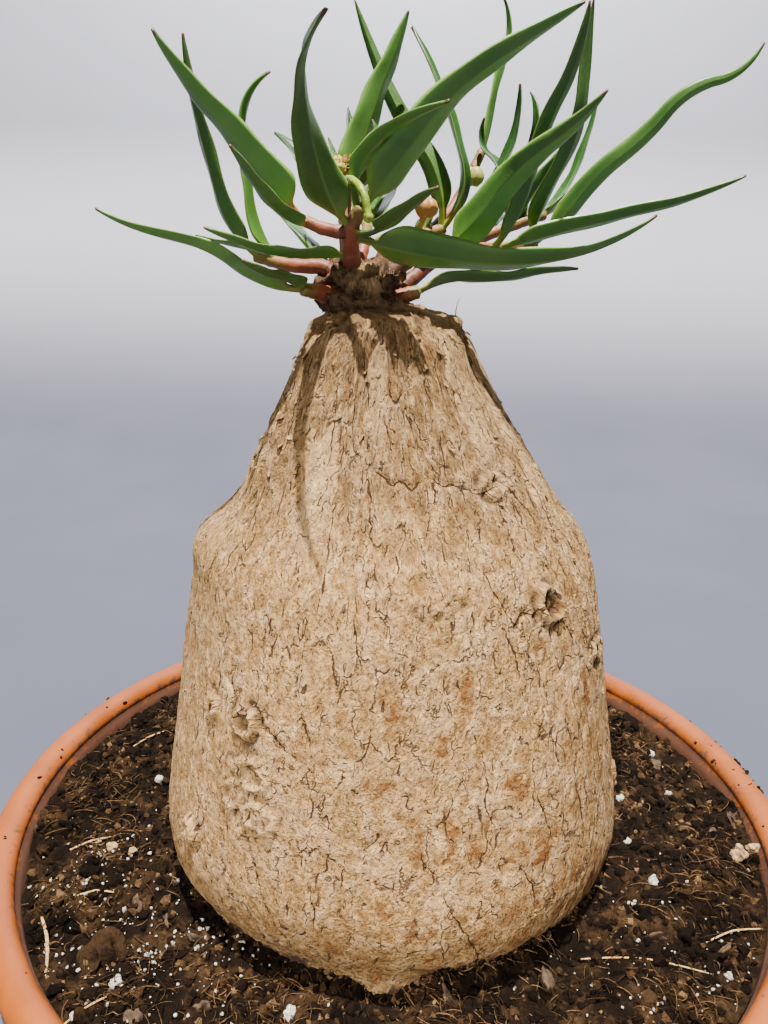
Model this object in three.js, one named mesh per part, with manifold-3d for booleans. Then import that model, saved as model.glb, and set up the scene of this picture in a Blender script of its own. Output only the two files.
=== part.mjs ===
// A potted Euphorbia trichadenia: a bottle-shaped caudex standing in soil in a plastic pot, with a crown
// of leafy shoots. Millimetres, +Z up, origin at the middle of the pot's foot, the seen side towards -Y.
import * as THREE from "three";
import { mergeVertices } from "three/addons/utils/BufferGeometryUtils.js";
import Module from "manifold-3d";

const wasm = await Module();
wasm.setup();

// Pot, a 17 cm nursery pot
const potHeight = 140;
const rimRadius = 85;
const lipWidth = 6.3;
const rimDepth = 27;
const wall = 2.2;
const footRadius = 58;
const floorThickness = 4;
const drainHoles = 6;
const drainHoleRadius = 5.5;
const drainRingRadius = 34;
const aroundPot = 52;

// Clearance kept between pieces that rest against each other
const gap = 0.3;

// Soil
const soilLevel = 134.5;
const soilRings = [0.95, 0.84, 0.73, 0.62, 0.5];

// Caudex: its outline as radius and height, and where its middle line stands at three heights
const caudexOutline = [
  [4, 71], [10, 82], [24, 96], [38, 112], [43, 126], [45, 136], [45.6, 147], [44.5, 160], [42.3, 175],
  [39.8, 189], [37.6, 199], [35.4, 204.5], [30.8, 210.5], [27, 216], [22.4, 224], [19.2, 229.5],
  [16.4, 234.5], [14.4, 239], [12.3, 242.2], [10.2, 243.6], [7.6, 244.8], [7.1, 247], [6.8, 249.5],
  [5.6, 251.6], [3.2, 252.5],
];
const caudexFoot = 70;
const caudexTop = 252.8;
const caudexMiddle = new THREE.Vector2(-1, -8);
const neck = { height: 205, leanTo: 241, lean: -2.8 };
const crown = new THREE.Vector3(-8.5, -8, 250);
const aroundCaudex = 44;

// Old branch scars on the bark: angle round the caudex from the front, height, radius, how far it stands out
const scars = [
  { angle: 43, height: 200, radius: 3.2, rise: 1.5 },
  { angle: 38, height: 218, radius: 2.2, rise: 0.9 },
  { angle: -34, height: 181, radius: 3.2, rise: 1.4 },
  { angle: -45, height: 180, radius: 2.8, rise: 0.9 },
  { angle: -51, height: 155, radius: 3, rise: 0.9 },
  { angle: -32, height: 167, radius: 4.6, rise: 0.8 },
  { angle: 88, height: 152, radius: 3.4, rise: 1.3 },
  { angle: 8, height: 206, radius: 3.4, rise: 0.5 },
];

// Leafy shoots. A stem's path is measured from the crown's middle, with its radius at both ends. A leaf stands
// on a stem, at a share of its path, and its azimuth, rise and roll change evenly from its root to its tip.
// Azimuth 0 is +X and 90 is the back. Roll turns the upper face about the leaf's own line, in degrees.
const shoots = {
  front_shoot: {
    stems: [
      { path: [[-1, -3, 0], [-1.5, -5.5, 3.5], [-1.3, -9, 7.6], [0.5, -10.5, 10.8]], radii: [1.8, 1.1] },
      { path: [[-1.4, -8.5, 7], [-5.5, -9.3, 7.5], [-10, -8.8, 9.2]], radii: [1.2, 0.9] },
    ],
    leaves: [
      { on: 1, at: 0.95, azimuth: [-160, -161], rise: [47, 48, 46, 62], length: 33, width: 7.2, roll: [46, 28] },
      { on: 1, at: 0.8, azimuth: [-126, -127], rise: [-6, 29, 45, 45], length: 19.5, width: 4.7, roll: [3, 6] },
      {
        on: 0, at: 0.66, azimuth: [-126, -59], rise: [35, 51, 22, 15], length: 42.5, width: 6.9,
        roll: [0, 45, 66, 72, 75],
      },
      {
        on: 0, at: 0.68, azimuth: [-38, -35], rise: [-27, 24, 34, 24], length: 18.5, width: 4.6,
        roll: [-10, -20], petiole: 0.3,
      },
      { on: 0, at: 0.92, azimuth: [-7, 1], rise: [50, 52, 32, 33], length: 44.5, width: 7.7, roll: [-52, -33] },
      {
        on: 0, at: 0.95, azimuth: [-35, -37], rise: [120, 43, 18, 11], length: 25.5, width: 4,
        roll: [-13, -22], petiole: 0.2,
      },
      { on: 0, at: 0.58, azimuth: [7, 7], rise: [-15, -6, 11, 40], length: 53.5, width: 8, roll: [-60, -17] },
      { on: 0, at: 0.38, azimuth: [-161, -160], rise: [-10, -1, 18, 24], length: 24.5, width: 5, roll: [13, 30] },
    ],
  },
  left_shoot: {
    stems: [{ path: [[-4.3, -0.7, 0.2], [-7, -0.5, 1.5], [-12.5, 0, 1.7], [-18.9, 2, 3]], radii: [1.5, 1] }],
    leaves: [
      { on: 0, at: 0.95, azimuth: [-161, -162], rise: [35, 76, 77, 88], length: 37, width: 5.4, roll: [18, 38] },
      { on: 0, at: 0.8, azimuth: [4, 4], rise: [124, 97, 95, 29], length: 32.5, width: 4.8, roll: [-14, -29] },
    ],
  },
  low_left_shoot: {
    stems: [{ path: [[-4.4, -2.9, -3.4], [-6.6, -4.3, -2.7], [-9.5, -6.5, -2]], radii: [1.6, 1.2] }],
    leaves: [
      { on: 0, at: 0.93, azimuth: [-174, -173], rise: [-1, 35, 9, 33], length: 36, width: 5.6, roll: [34, 23] },
      { on: 0, at: 0.9, azimuth: [-137, -133], rise: [26, 9, 36], length: 13.5, width: 5.4, roll: [0, 25] },
    ],
  },
  right_shoot: {
    stems: [{
      path: [[4.6, 0, 0.4], [9.5, 1, 3.7], [16.2, 2, 4.9], [24.5, 6, 5.4], [31.5, 11.5, 6.3]],
      radii: [1.5, 1],
    }],
    leaves: [
      { on: 0, at: 0.42, azimuth: [-24, -19], rise: [35, 53, 33, 51], length: 35.5, width: 6.6, roll: [-85, -42] },
      { on: 0, at: 0.7, azimuth: [-44, -43], rise: [38, 76, 61, 87], length: 40, width: 5.5, roll: [21, -29] },
      { on: 0, at: 0.94, azimuth: [-49, -53], rise: [72, 53, 91, 87], length: 40, width: 5, roll: [13, -19] },
      {
        on: 0, at: 0.97, azimuth: [-7, 5], rise: [37, 56, 38, 52, 13, 70], length: 51, width: 4.4,
        roll: [-59, -90],
      },
      { on: 0, at: 0.72, azimuth: [0, -4], rise: [17, 14, 15, 28], length: 44, width: 4.9, roll: [-36, -39] },
    ],
  },
  back_right_shoot: {
    stems: [{ path: [[2.2, 2.7, 0.6], [4.5, 4.6, 4.5], [9.5, 9, 7], [14.5, 12, 8.8]], radii: [1.4, 1] }],
    leaves: [
      { on: 0, at: 0.97, azimuth: [161, 159], rise: [96, 49, 63, 68], length: 43.5, width: 4.4, roll: [108, 108] },
      { on: 0, at: 0.98, azimuth: [146, 137], rise: [137, 70, 61, 52], length: 39, width: 5.6, roll: [26, 4] },
      { on: 0, at: 0.75, azimuth: [70, 58], rise: [50, 46], length: 15, width: 5, roll: [-30, -30] },
    ],
  },
  far_back_shoot: {
    stems: [{
      path: [[1.9, 5, -2.6], [5, 7.6, 0.5], [11, 13.5, 7], [15.9, 20, 12.2], [19.2, 24, 18], [22, 27, 24]],
      radii: [1.5, 0.9],
    }],
    leaves: [
      { on: 0, at: 0.97, azimuth: [58, 38], rise: [55, 77, 67, 132], length: 30.5, width: 4.3, roll: [-63, -90] },
    ],
  },
  crown_back_shoot: {
    stems: [{ path: [[-1.6, 2.7, 0], [-2.7, 4, 4], [-3.5, 6.5, 10], [-3.3, 8, 15.3]], radii: [1.5, 1] }],
    leaves: [
      { on: 0, at: 0.72, azimuth: [145, 138], rise: [22, 55, 22], length: 23.5, width: 5.6, roll: [13, -22] },
      { on: 0, at: 0.95, azimuth: [28, 26], rise: [68, 72, 65, 74], length: 32, width: 7.5, roll: [-73, -68] },
      { on: 0, at: 0.97, azimuth: [-40, -34], rise: [1, 60, 134], length: 15.5, width: 4, roll: [-5, -14] },
    ],
  },
  rear_shoot: {
    stems: [{ path: [[-1.6, 5, -3], [-1.3, 8, 0.6], [-0.3, 12, 5.5], [0, 19, 9.5]], radii: [1.5, 0.9] }],
    leaves: [
      { on: 0, at: 0.97, azimuth: [104, 102], rise: [37, 51], length: 36, width: 5.6, roll: [15, 15] },
      { on: 0, at: 0.92, azimuth: [116, 113], rise: [34, 45], length: 29.5, width: 5, roll: [25, 25] },
      { on: 0, at: 0.95, azimuth: [66, 64], rise: [50, 32], length: 34, width: 5.6, roll: [-20, -20] },
      { on: 0, at: 0.66, azimuth: [88, 88], rise: [9, -11], length: 36, width: 6.2, roll: [0, 0] },
      { on: 0, at: 0.85, azimuth: [78, 84], rise: [30, 8], length: 42, width: 6, roll: [-8, -8] },
    ],
  },
  rear_left_shoot: {
    stems: [{ path: [[-4.2, 2.7, -3], [-6.3, 4.4, -0.6], [-8.7, 10, 3.5]], radii: [1.4, 1] }],
    leaves: [
      { on: 0, at: 0.55, azimuth: [122, 122], rise: [44, 31], length: 12, width: 3.8, roll: [10, 10] },
      { on: 0, at: 0.95, azimuth: [126, 127], rise: [26, 33], length: 34, width: 5.8, roll: [20, 20] },
      { on: 0, at: 0.92, azimuth: [114, 113], rise: [-7, 2], length: 31, width: 5.8, roll: [5, 5] },
      { on: 0, at: 0.9, azimuth: [150, 156], rise: [4, 12], length: 30, width: 5.4, roll: [12, 12] },
    ],
  },
  low_right_shoot: {
    stems: [{ path: [[4.6, -1.8, -3.7], [7, -2, -3], [10, -1.9, -2.2]], radii: [1.5, 1.2] }],
    leaves: [
      { on: 0, at: 0.93, azimuth: [26, 4], rise: [27, -3, 13, 3], length: 31, width: 5.4, roll: [-16, -45] },
    ],
  },
  behind_right_shoot: {
    stems: [{
      path: [[4.8, 2, -3.2], [8.6, 5, -0.4], [13.5, 9.5, 3.5], [19.5, 14, 6.5], [27, 17, 9.5], [34.2, 20, 12]],
      radii: [1.5, 0.9],
    }],
    leaves: [
      { on: 0, at: 0.6, azimuth: [44, 40], rise: [64, 55, 100], length: 31.5, width: 4.8, roll: [-17, -2] },
      { on: 0, at: 0.8, azimuth: [121, 129], rise: [85, 65, 29, 127], length: 23.5, width: 4.4, roll: [20, 0] },
      { on: 0, at: 0.88, azimuth: [75, 115], rise: [38, 136, 32], length: 26, width: 3.6, roll: [-54, -62] },
      { on: 0, at: 0.97, azimuth: [37, 39], rise: [26, 65, 77], length: 26.5, width: 4.2, roll: [-16, -8] },
      { on: 0, at: 0.82, azimuth: [15, 15], rise: [60, 55, 53], length: 18.5, width: 5.2, roll: [-44, -60] },
      { on: 0, at: 0.9, azimuth: [53, 55], rise: [11, 35], length: 40, width: 6.2, roll: [-15, -15] },
      { on: 0, at: 0.62, azimuth: [66, 65], rise: [19, 18], length: 39, width: 6, roll: [-5, -5] },
    ],
  },
};

// Blooms and fruit on stalks of their own, measured from the crown's middle like the stems
const hookedStalk = {
  path: [[-2.7, -4.1, 6.3], [-3.2, -4.6, 9.5], [-2.7, -7, 12.9], [-1.8, -11, 14.8], [-0.2, -14.5, 14.1],
    [1.2, -16.4, 12.2], [1.9, -17, 9.3]],
  radii: [0.6, 0.75],
};
const flowerCluster = { path: [[-4.6, 6, 14], [-4.8, 4, 16], [-4.4, 2.6, 17.3]], radius: 2.5 };
const capsules = {
  capsule_right: { path: [[18.8, 21.3, 18], [19.1, 20, 17.9], [19.6, 18.6, 17.7]], radius: 2 },
  capsule_back: { path: [[9.8, 7, 8.4], [10.5, 6.2, 10], [10.9, 6, 11.2]], radius: 1.9 },
};

const leafStations = [0, 0.07, 0.12, 0.2, 0.38, 0.58, 0.78, 0.93, 1];
const aroundStem = 7;

const material = {
  pot: new THREE.MeshStandardMaterial({ color: 0xd98a57, roughness: 0.45, metalness: 0 }),
  soil: new THREE.MeshStandardMaterial({ color: 0x33261e, roughness: 1, metalness: 0 }),
  bark: new THREE.MeshStandardMaterial({ color: 0xbfa27c, roughness: 0.95, metalness: 0 }),
  leaf: new THREE.MeshStandardMaterial({ color: 0x3f7a45, roughness: 0.5, metalness: 0 }),
  fruit: new THREE.MeshStandardMaterial({ color: 0xb8b070, roughness: 0.6, metalness: 0 }),
};

// closes a stack of rings, with a fan of triangles to the middle of each end
function skin(rings, firstTip, lastTip) {
  const sides = rings[0].length;
  const middle = (ring) => ring.reduce((sum, p) => sum.add(p), new THREE.Vector3()).divideScalar(sides);
  const points = [...rings.flat(), firstTip ?? middle(rings[0]), lastTip ?? middle(rings.at(-1))];
  const first = points.length - 2;
  const last = points.length - 1;
  const top = (rings.length - 1) * sides;
  const index = [];
  for (let side = 0; side < sides; side += 1) {
    const next = (side + 1) % sides;
    for (let ring = 0; ring < rings.length - 1; ring += 1) {
      const low = ring * sides;
      const high = low + sides;
      index.push(low + side, low + next, high + next, low + side, high + next, high + side);
    }
    index.push(first, next, side, last, top + side, top + next);
  }
  const geometry = new THREE.BufferGeometry().setFromPoints(points);
  geometry.setIndex(index);
  return geometry;
}

// a solid from a closed geometry, turned outwards if its faces point in
function solid(geometry) {
  const bare = geometry.clone();
  bare.deleteAttribute("normal");
  bare.deleteAttribute("uv");
  const merged = mergeVertices(bare, 1e-4);
  const vertProperties = new Float32Array(merged.attributes.position.array);
  const triVerts = new Uint32Array(merged.index.array);
  const body = new wasm.Manifold(new wasm.Mesh({ numProp: 3, vertProperties, triVerts }));
  if (body.volume() > 0) return body;
  return new wasm.Manifold(new wasm.Mesh({ numProp: 3, vertProperties, triVerts: triVerts.reverse() }));
}

function join(bodies) {
  return bodies.reduce((sum, body) => sum.add(body));
}

function mesh(name, body, look) {
  const { vertProperties, triVerts } = body.getMesh();
  const geometry = new THREE.BufferGeometry();
  geometry.setAttribute("position", new THREE.BufferAttribute(new Float32Array(vertProperties), 3));
  geometry.setIndex(new THREE.BufferAttribute(new Uint32Array(triVerts), 1));
  geometry.computeVertexNormals();
  const piece = new THREE.Mesh(geometry, look);
  piece.name = name;
  return piece;
}

// the value that a short list gives at a share of its length, changing evenly between its entries
function evenly(list, share) {
  const place = share * (list.length - 1);
  const before = Math.min(Math.floor(place), list.length - 2);
  return THREE.MathUtils.lerp(list[before], list[before + 1], place - before);
}

function bell(distance, width) {
  return Math.exp(-((distance / width) ** 2));
}

// how far the inside of the pot's wall stands from the middle at a height
function potInside(z) {
  const topInside = rimRadius - lipWidth;
  const floorInside = footRadius - wall + 1;
  return THREE.MathUtils.mapLinear(z, floorThickness, potHeight, floorInside, topInside);
}

function potBody() {
  const skirtFoot = potHeight - rimDepth;
  const underLip = potHeight - 4.5;
  const skirtTop = rimRadius - 0.2;
  const skirtInside = rimRadius - wall - 2.4;
  const lip = new THREE.EllipseCurve(rimRadius - lipWidth / 2, potHeight - 2.6, lipWidth / 2, 2.6, 0, Math.PI);
  const outline = [
    new THREE.Vector2(0, 0),
    new THREE.Vector2(footRadius - 2, 0),
    new THREE.Vector2(footRadius, 2),
    new THREE.Vector2(potInside(skirtFoot) + wall, skirtFoot),
    new THREE.Vector2(potInside(underLip) + wall, underLip),
    new THREE.Vector2(skirtTop - wall, underLip),
    new THREE.Vector2(skirtInside, skirtFoot),
    new THREE.Vector2(rimRadius - 2.4, skirtFoot),
    ...lip.getPoints(6),
    new THREE.Vector2(potInside(floorThickness + 3), floorThickness + 3),
    new THREE.Vector2(potInside(floorThickness) - 2.5, floorThickness),
    new THREE.Vector2(0, floorThickness),
  ];
  const shell = solid(new THREE.LatheGeometry(outline, aroundPot).rotateX(Math.PI / 2));
  const holes = Array.from({ length: drainHoles }, (_, hole) => {
    const angle = (hole * 2 * Math.PI) / drainHoles;
    const drill = new THREE.CylinderGeometry(drainHoleRadius, drainHoleRadius, 3 * floorThickness, 16);
    drill.rotateX(Math.PI / 2);
    drill.translate(drainRingRadius * Math.cos(angle), drainRingRadius * Math.sin(angle), floorThickness / 2);
    return solid(drill);
  });
  return holes.reduce((body, hole) => body.subtract(hole), shell);
}

// how high the loose soil lies: a few soft clods, a heap on the right and a hollow behind it
function soilHeight(x, y) {
  const clods = 0.9 * Math.sin(x / 6.1 + 1) * Math.cos(y / 7.3) + 0.6 * Math.sin(x / 3.7 - y / 4.9);
  const heap = 2.5 * bell(Math.hypot(x - 66, y + 20), 18);
  const hollow = 4 * bell(Math.hypot(x - 58, y - 24), 13);
  return soilLevel + clods + heap - hollow;
}

function soilBody(hole) {
  const bottom = floorThickness + gap;
  const ring = (radius, height) => Array.from({ length: aroundPot }, (_, side) => {
    const angle = (side * 2 * Math.PI) / aroundPot;
    const x = radius * Math.cos(angle);
    const y = radius * Math.sin(angle);
    return new THREE.Vector3(x, y, height ?? soilHeight(x, y));
  });
  const edge = potInside(soilLevel) - gap;
  const rings = [
    ring(potInside(bottom) - 2.5 - gap, bottom),
    ring(potInside(bottom + 3) - gap, bottom + 3),
    ring(edge - 0.4),
    ...soilRings.map((share) => ring(edge * share)),
  ];
  return solid(skin(rings)).subtract(hole);
}

// the caudex's middle line leans to the left above the neck, and its knob stands further over
function caudexCentre(z) {
  const lean = neck.lean * THREE.MathUtils.smoothstep(z, neck.height, neck.leanTo);
  const knob = THREE.MathUtils.smoothstep(z, 243, 246);
  return new THREE.Vector2(
    THREE.MathUtils.lerp(caudexMiddle.x + lean, crown.x, knob),
    THREE.MathUtils.lerp(caudexMiddle.y, crown.y, knob),
  );
}

// lumps on the round body, a knee on its left, a front that draws in with one drip where it meets the soil,
// and a flattened front between two ridges above the neck
function caudexRadius(radius, angle, z) {
  const fromFront = angle + Math.PI / 2;
  const body = THREE.MathUtils.smoothstep(z, 110, 150) * (1 - THREE.MathUtils.smoothstep(z, 236, 243));
  const cone = THREE.MathUtils.smoothstep(z, neck.height, 216) * (1 - THREE.MathUtils.smoothstep(z, 238, 243));
  const knob = THREE.MathUtils.smoothstep(z, 244, 246);
  const lumps = 0.5 * Math.sin(2 * angle + z / 17) + 0.4 * Math.sin(5 * angle - z / 13);
  const knee = 1.6 * Math.max(0, -Math.cos(angle)) ** 4 * bell(z - 204, 4);
  const tuck = 6.5 * Math.max(0, Math.cos(fromFront + 0.15)) * bell(z - 133, 9);
  const drip = 4 * bell(fromFront, 0.16) * bell(z - 131, 6);
  const ridges = -0.045 * radius * Math.cos(4 * fromFront);
  const crags = 0.5 * Math.sin(5 * angle + z) + 0.35 * Math.sin(3 * angle - 2 * z);
  return radius + body * lumps + knee - tuck + drip + cone * ridges + knob * crags;
}

function caudexSkin(clearance) {
  const rings = caudexOutline.map(([radius, z]) => Array.from({ length: aroundCaudex }, (_, side) => {
    const angle = (side * 2 * Math.PI) / aroundCaudex;
    const reach = caudexRadius(radius, angle, z) + clearance;
    const centre = caudexCentre(z);
    return new THREE.Vector3(centre.x + reach * Math.cos(angle), centre.y + reach * Math.sin(angle), z);
  }));
  const foot = new THREE.Vector3(caudexMiddle.x, caudexMiddle.y, caudexFoot - clearance);
  const top = new THREE.Vector3(crown.x, crown.y, caudexTop + clearance);
  return solid(skin(rings, foot, top));
}

// the outline's radius at a height
function outlineAt(z) {
  const above = caudexOutline.findIndex(([, height]) => height > z);
  const [lowRadius, low] = caudexOutline[above - 1];
  const [highRadius, high] = caudexOutline[above];
  return THREE.MathUtils.mapLinear(z, low, high, lowRadius, highRadius);
}

function scarBody({ angle, height, radius, rise }) {
  const turn = THREE.MathUtils.degToRad(angle - 90);
  const centre = caudexCentre(height);
  const reach = caudexRadius(outlineAt(height), turn, height);
  const ball = new THREE.IcosahedronGeometry(radius, 1);
  ball.scale(rise / radius, 1, 1.1);
  ball.rotateZ(turn);
  ball.translate(centre.x + reach * Math.cos(turn), centre.y + reach * Math.sin(turn), height);
  return solid(ball);
}

function curveFrom(path) {
  const points = path.map(([x, y, z]) => new THREE.Vector3(x, y, z).add(crown));
  return new THREE.CatmullRomCurve3(points, false, "catmullrom");
}

// a round tapered tube along a path, with a blunt point at its far end
function tube(path, radii, clearance = 0) {
  const curve = curveFrom(path);
  const steps = 2 * (path.length - 1);
  const start = curve.getPoint(0);
  const end = curve.getPoint(1);
  const level = new THREE.Vector3().crossVectors(end.clone().sub(start), new THREE.Vector3(0, 0, 1)).normalize();
  const rings = Array.from({ length: steps + 1 }, (_, step) => {
    const along = curve.getTangent(step / steps);
    const upright = new THREE.Vector3().crossVectors(along, level).normalize();
    const across = new THREE.Vector3().crossVectors(upright, along);
    const radius = evenly(radii, step / steps) + clearance;
    const centre = curve.getPoint(step / steps);
    return Array.from({ length: aroundStem }, (_, side) => {
      const angle = (side * 2 * Math.PI) / aroundStem;
      return centre.clone()
        .addScaledVector(across, radius * Math.cos(angle))
        .addScaledVector(upright, radius * Math.sin(angle));
    });
  });
  const root = start.addScaledVector(curve.getTangent(0), -0.3 - clearance);
  const tip = end.addScaledVector(curve.getTangent(1), 0.6 * radii.at(-1));
  return solid(skin(rings, root, tip));
}

// how wide a leaf is at a share of its length: a slim petiole, a blade that widens fast over its first eighth,
// and then a long taper to the tip
function leafWidth(share, petiole, width) {
  const blade = THREE.MathUtils.clamp((share - petiole) / (1 - petiole), 0, 1);
  const shoulder = Math.sin((Math.PI / 2) * Math.min(1, 8 * blade)) ** 0.8;
  const taper = 1.06 * (1 - blade) ** 0.6;
  const slim = THREE.MathUtils.lerp(1.5, 0.7, share);
  return Math.max(slim, width * shoulder * taper);
}

// a leaf blade folded a little along its midrib, as a line of six-cornered sections
function leafBody(curve, { at, azimuth, rise, length, width, roll, petiole = 0.07, fold = 22 }) {
  const steps = 40;
  const stations = leafStations.map((share) => Math.round(share * steps));
  const position = curve.getPoint(at);
  const slope = Math.tan(THREE.MathUtils.degToRad(fold));
  const rings = [];
  for (let step = 0; step <= steps; step += 1) {
    const share = step / steps;
    const a = THREE.MathUtils.degToRad(evenly(azimuth, share));
    const r = THREE.MathUtils.degToRad(evenly(rise, share));
    const along = new THREE.Vector3(Math.cos(r) * Math.cos(a), Math.cos(r) * Math.sin(a), Math.sin(r));
    if (stations.includes(step)) {
      const turn = THREE.MathUtils.degToRad(evenly(roll, share));
      const across = new THREE.Vector3(Math.sin(a), -Math.cos(a), 0).applyAxisAngle(along, turn);
      const upper = new THREE.Vector3().crossVectors(across, along);
      const half = leafWidth(share, petiole, width) / 2;
      const thick = THREE.MathUtils.lerp(1.1, 0.6, Math.min(1, 3 * share)) / 2;
      const lift = (half - 0.35) * slope;
      const corner = (x, y) => position.clone().addScaledVector(across, x).addScaledVector(upper, y);
      rings.push([
        corner(-half, lift + thick), corner(-half, lift - thick), corner(0, -1.3 * thick),
        corner(half, lift - thick), corner(half, lift + thick), corner(0, thick),
      ]);
    }
    position.addScaledVector(along, length / steps);
  }
  return solid(skin(rings));
}

function shootBody({ stems, leaves }) {
  const curves = stems.map(({ path }) => curveFrom(path));
  return join([
    ...stems.map(({ path, radii }) => tube(path, radii)),
    ...leaves.map((leaf) => leafBody(curves[leaf.on], leaf)),
  ]);
}

// a flat three-lobed seed capsule on its stalk
function capsuleBody({ path, radius }) {
  const lobes = [0, 1, 2].map((lobe) => {
    const angle = (lobe * 2 * Math.PI) / 3;
    const ball = new THREE.IcosahedronGeometry(0.78 * radius, 0);
    ball.scale(1, 1, 1.15);
    ball.translate(0.42 * radius * Math.cos(angle), 0.42 * radius * Math.sin(angle), 0);
    const [x, y, z] = path.at(-1);
    ball.translate(crown.x + x, crown.y + y, crown.z + z + 0.4 * radius);
    return solid(ball);
  });
  return join([tube(path, [0.55, 0.6]), ...lobes]);
}

// a small flower head: a cup with a ring of fringed lobes round it
function flowerBody({ path, radius }) {
  const [x, y, z] = path.at(-1);
  const centre = new THREE.Vector3(x, y, z + 0.4 * radius).add(crown);
  const cup = new THREE.IcosahedronGeometry(0.7 * radius, 1).translate(centre.x, centre.y, centre.z);
  const lobes = Array.from({ length: 7 }, (_, lobe) => {
    const angle = (lobe * 2 * Math.PI) / 7;
    const petal = new THREE.ConeGeometry(0.3 * radius, radius, 5);
    petal.rotateX(Math.PI / 2);
    petal.translate(0, 0, 0.5 * radius);
    petal.rotateY(0.9);
    petal.rotateZ(angle);
    return solid(petal.translate(centre.x, centre.y, centre.z));
  });
  return join([tube(path, [0.6, 0.7]), solid(cup), ...lobes]);
}

const plant = new THREE.Group();
plant.add(mesh("pot", potBody(), material.pot));
plant.add(mesh("soil", soilBody(caudexSkin(gap + 0.1)), material.soil));

const sockets = Object.values(shoots).map(({ stems: [{ path, radii }] }) => tube(path, radii, gap));
const bark = join([caudexSkin(0), ...scars.map(scarBody)]);
plant.add(mesh("caudex", sockets.reduce((body, socket) => body.subtract(socket), bark), material.bark));

for (const [name, shoot] of Object.entries(shoots)) {
  plant.add(mesh(name, shootBody(shoot), material.leaf));
}
plant.add(mesh("hooked_stalk", tube(hookedStalk.path, hookedStalk.radii), material.leaf));
plant.add(mesh("flower_cluster", flowerBody(flowerCluster), material.fruit));
for (const [name, capsule] of Object.entries(capsules)) {
  plant.add(mesh(name, capsuleBody(capsule), material.fruit));
}

export default plant;
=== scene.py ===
import bpy
import numpy as np
from mathutils import Matrix, Vector


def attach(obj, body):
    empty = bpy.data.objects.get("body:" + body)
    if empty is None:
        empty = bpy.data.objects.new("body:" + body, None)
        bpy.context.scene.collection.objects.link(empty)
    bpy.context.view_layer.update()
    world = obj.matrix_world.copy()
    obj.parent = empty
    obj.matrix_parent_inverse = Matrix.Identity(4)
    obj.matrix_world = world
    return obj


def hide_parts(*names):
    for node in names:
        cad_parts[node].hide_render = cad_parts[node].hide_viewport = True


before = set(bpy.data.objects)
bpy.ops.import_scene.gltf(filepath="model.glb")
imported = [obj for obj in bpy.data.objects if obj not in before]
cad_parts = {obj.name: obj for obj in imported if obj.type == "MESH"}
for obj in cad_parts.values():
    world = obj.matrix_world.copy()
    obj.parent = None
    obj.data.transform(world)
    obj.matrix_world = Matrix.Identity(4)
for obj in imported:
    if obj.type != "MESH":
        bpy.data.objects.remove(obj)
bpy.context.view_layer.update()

perMillimetre = 0.001
up = np.array([0.0, 0.0, 1.0])


# Numbers and noise

def bell(distance, width):
    # a bell curve: e to minus the square of distance over width
    return np.exp(-(distance / width) ** 2)


def smooth(value, low, high):
    # 0 at low, 1 at high, and 3t^2 - 2t^3 between them
    t = np.clip((value - low) / (high - low), 0, 1)
    return t * t * (3 - 2 * t)


def falling(value, low, high):
    # 1 at low and 0 at high
    return 1 - smooth(value, low, high)


def unit(ways):
    return ways / np.maximum(np.linalg.norm(ways, axis=-1, keepdims=True), 1e-12)


def vectors(x, y, z):
    # three arrays of coordinates as one array of points
    return np.stack(np.broadcast_arrays(x, y, z), -1)


def heading(azimuth, rise):
    # a direction of length 1 from its angle round the upright axis and its angle above level
    return vectors(np.cos(rise) * np.cos(azimuth), np.cos(rise) * np.sin(azimuth), np.sin(rise))


def fullTurn(count):
    # angles spread evenly round a circle
    return np.linspace(0, 2 * np.pi, count, endpoint=False)


tableRandom = np.random.default_rng(5)
tableSize = 509
directions = unit(tableRandom.normal(size=(tableSize, 3)))
spots = tableRandom.random((tableSize, 3))


def lookUp(cell, seed):
    # a fixed random whole number for each cell of the lattice
    mixed = cell[..., 0] * 73856093 ^ cell[..., 1] * 19349663 ^ cell[..., 2] * 83492791 ^ seed * 2654435
    return mixed % tableSize


def latticeNoise(points, seed):
    # gradient noise: each corner of the unit cell round a point has a random direction, and its dot products
    # with the way to the point are blended by 6t^5 - 15t^4 + 10t^3
    cell = np.floor(points).astype(np.int64)
    inside = points - cell
    fade = inside ** 3 * (inside * (6 * inside - 15) + 10)
    total = np.zeros(points.shape[:-1])
    for corner in np.ndindex(2, 2, 2):
        weight = np.prod(np.where(corner, fade, 1 - fade), axis=-1)
        slope = directions[lookUp(cell + corner, seed)]
        total += weight * np.sum(slope * (inside - corner), axis=-1)
    return 1.6 * total


def fractal(points, size, seed, octaves=3):
    # gradient noise added up, each time at half the size and half the strength
    total = 0
    for octave in range(octaves):
        total = total + latticeNoise(points * 2 ** octave / size, seed + octave) / 2 ** octave
    return total


def jostled(points, size, amount, seed):
    # points pushed about by three noises, one along each axis
    return points + amount * np.stack([fractal(points, size, seed + step, 2) for step in (0, 2, 4)], -1)


def cellNoise(points, seed):
    # each unit cell holds one random spot: how far the nearest is, how much further the second is, and a
    # number from 0 to 1 that belongs to the nearest
    cell = np.floor(points).astype(np.int64)
    nearest = np.full(points.shape[:-1], 9.0)
    second = nearest.copy()
    owner = np.zeros(nearest.shape)
    for step in np.ndindex(3, 3, 3):
        neighbour = cell + step - 1
        pick = lookUp(neighbour, seed)
        distance = np.linalg.norm(neighbour + spots[pick] - points, axis=-1)
        closer = distance < nearest
        second = np.where(closer, nearest, np.minimum(second, distance))
        nearest = np.where(closer, distance, nearest)
        owner = np.where(closer, pick / tableSize, owner)
    return nearest, second - nearest, owner


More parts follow.
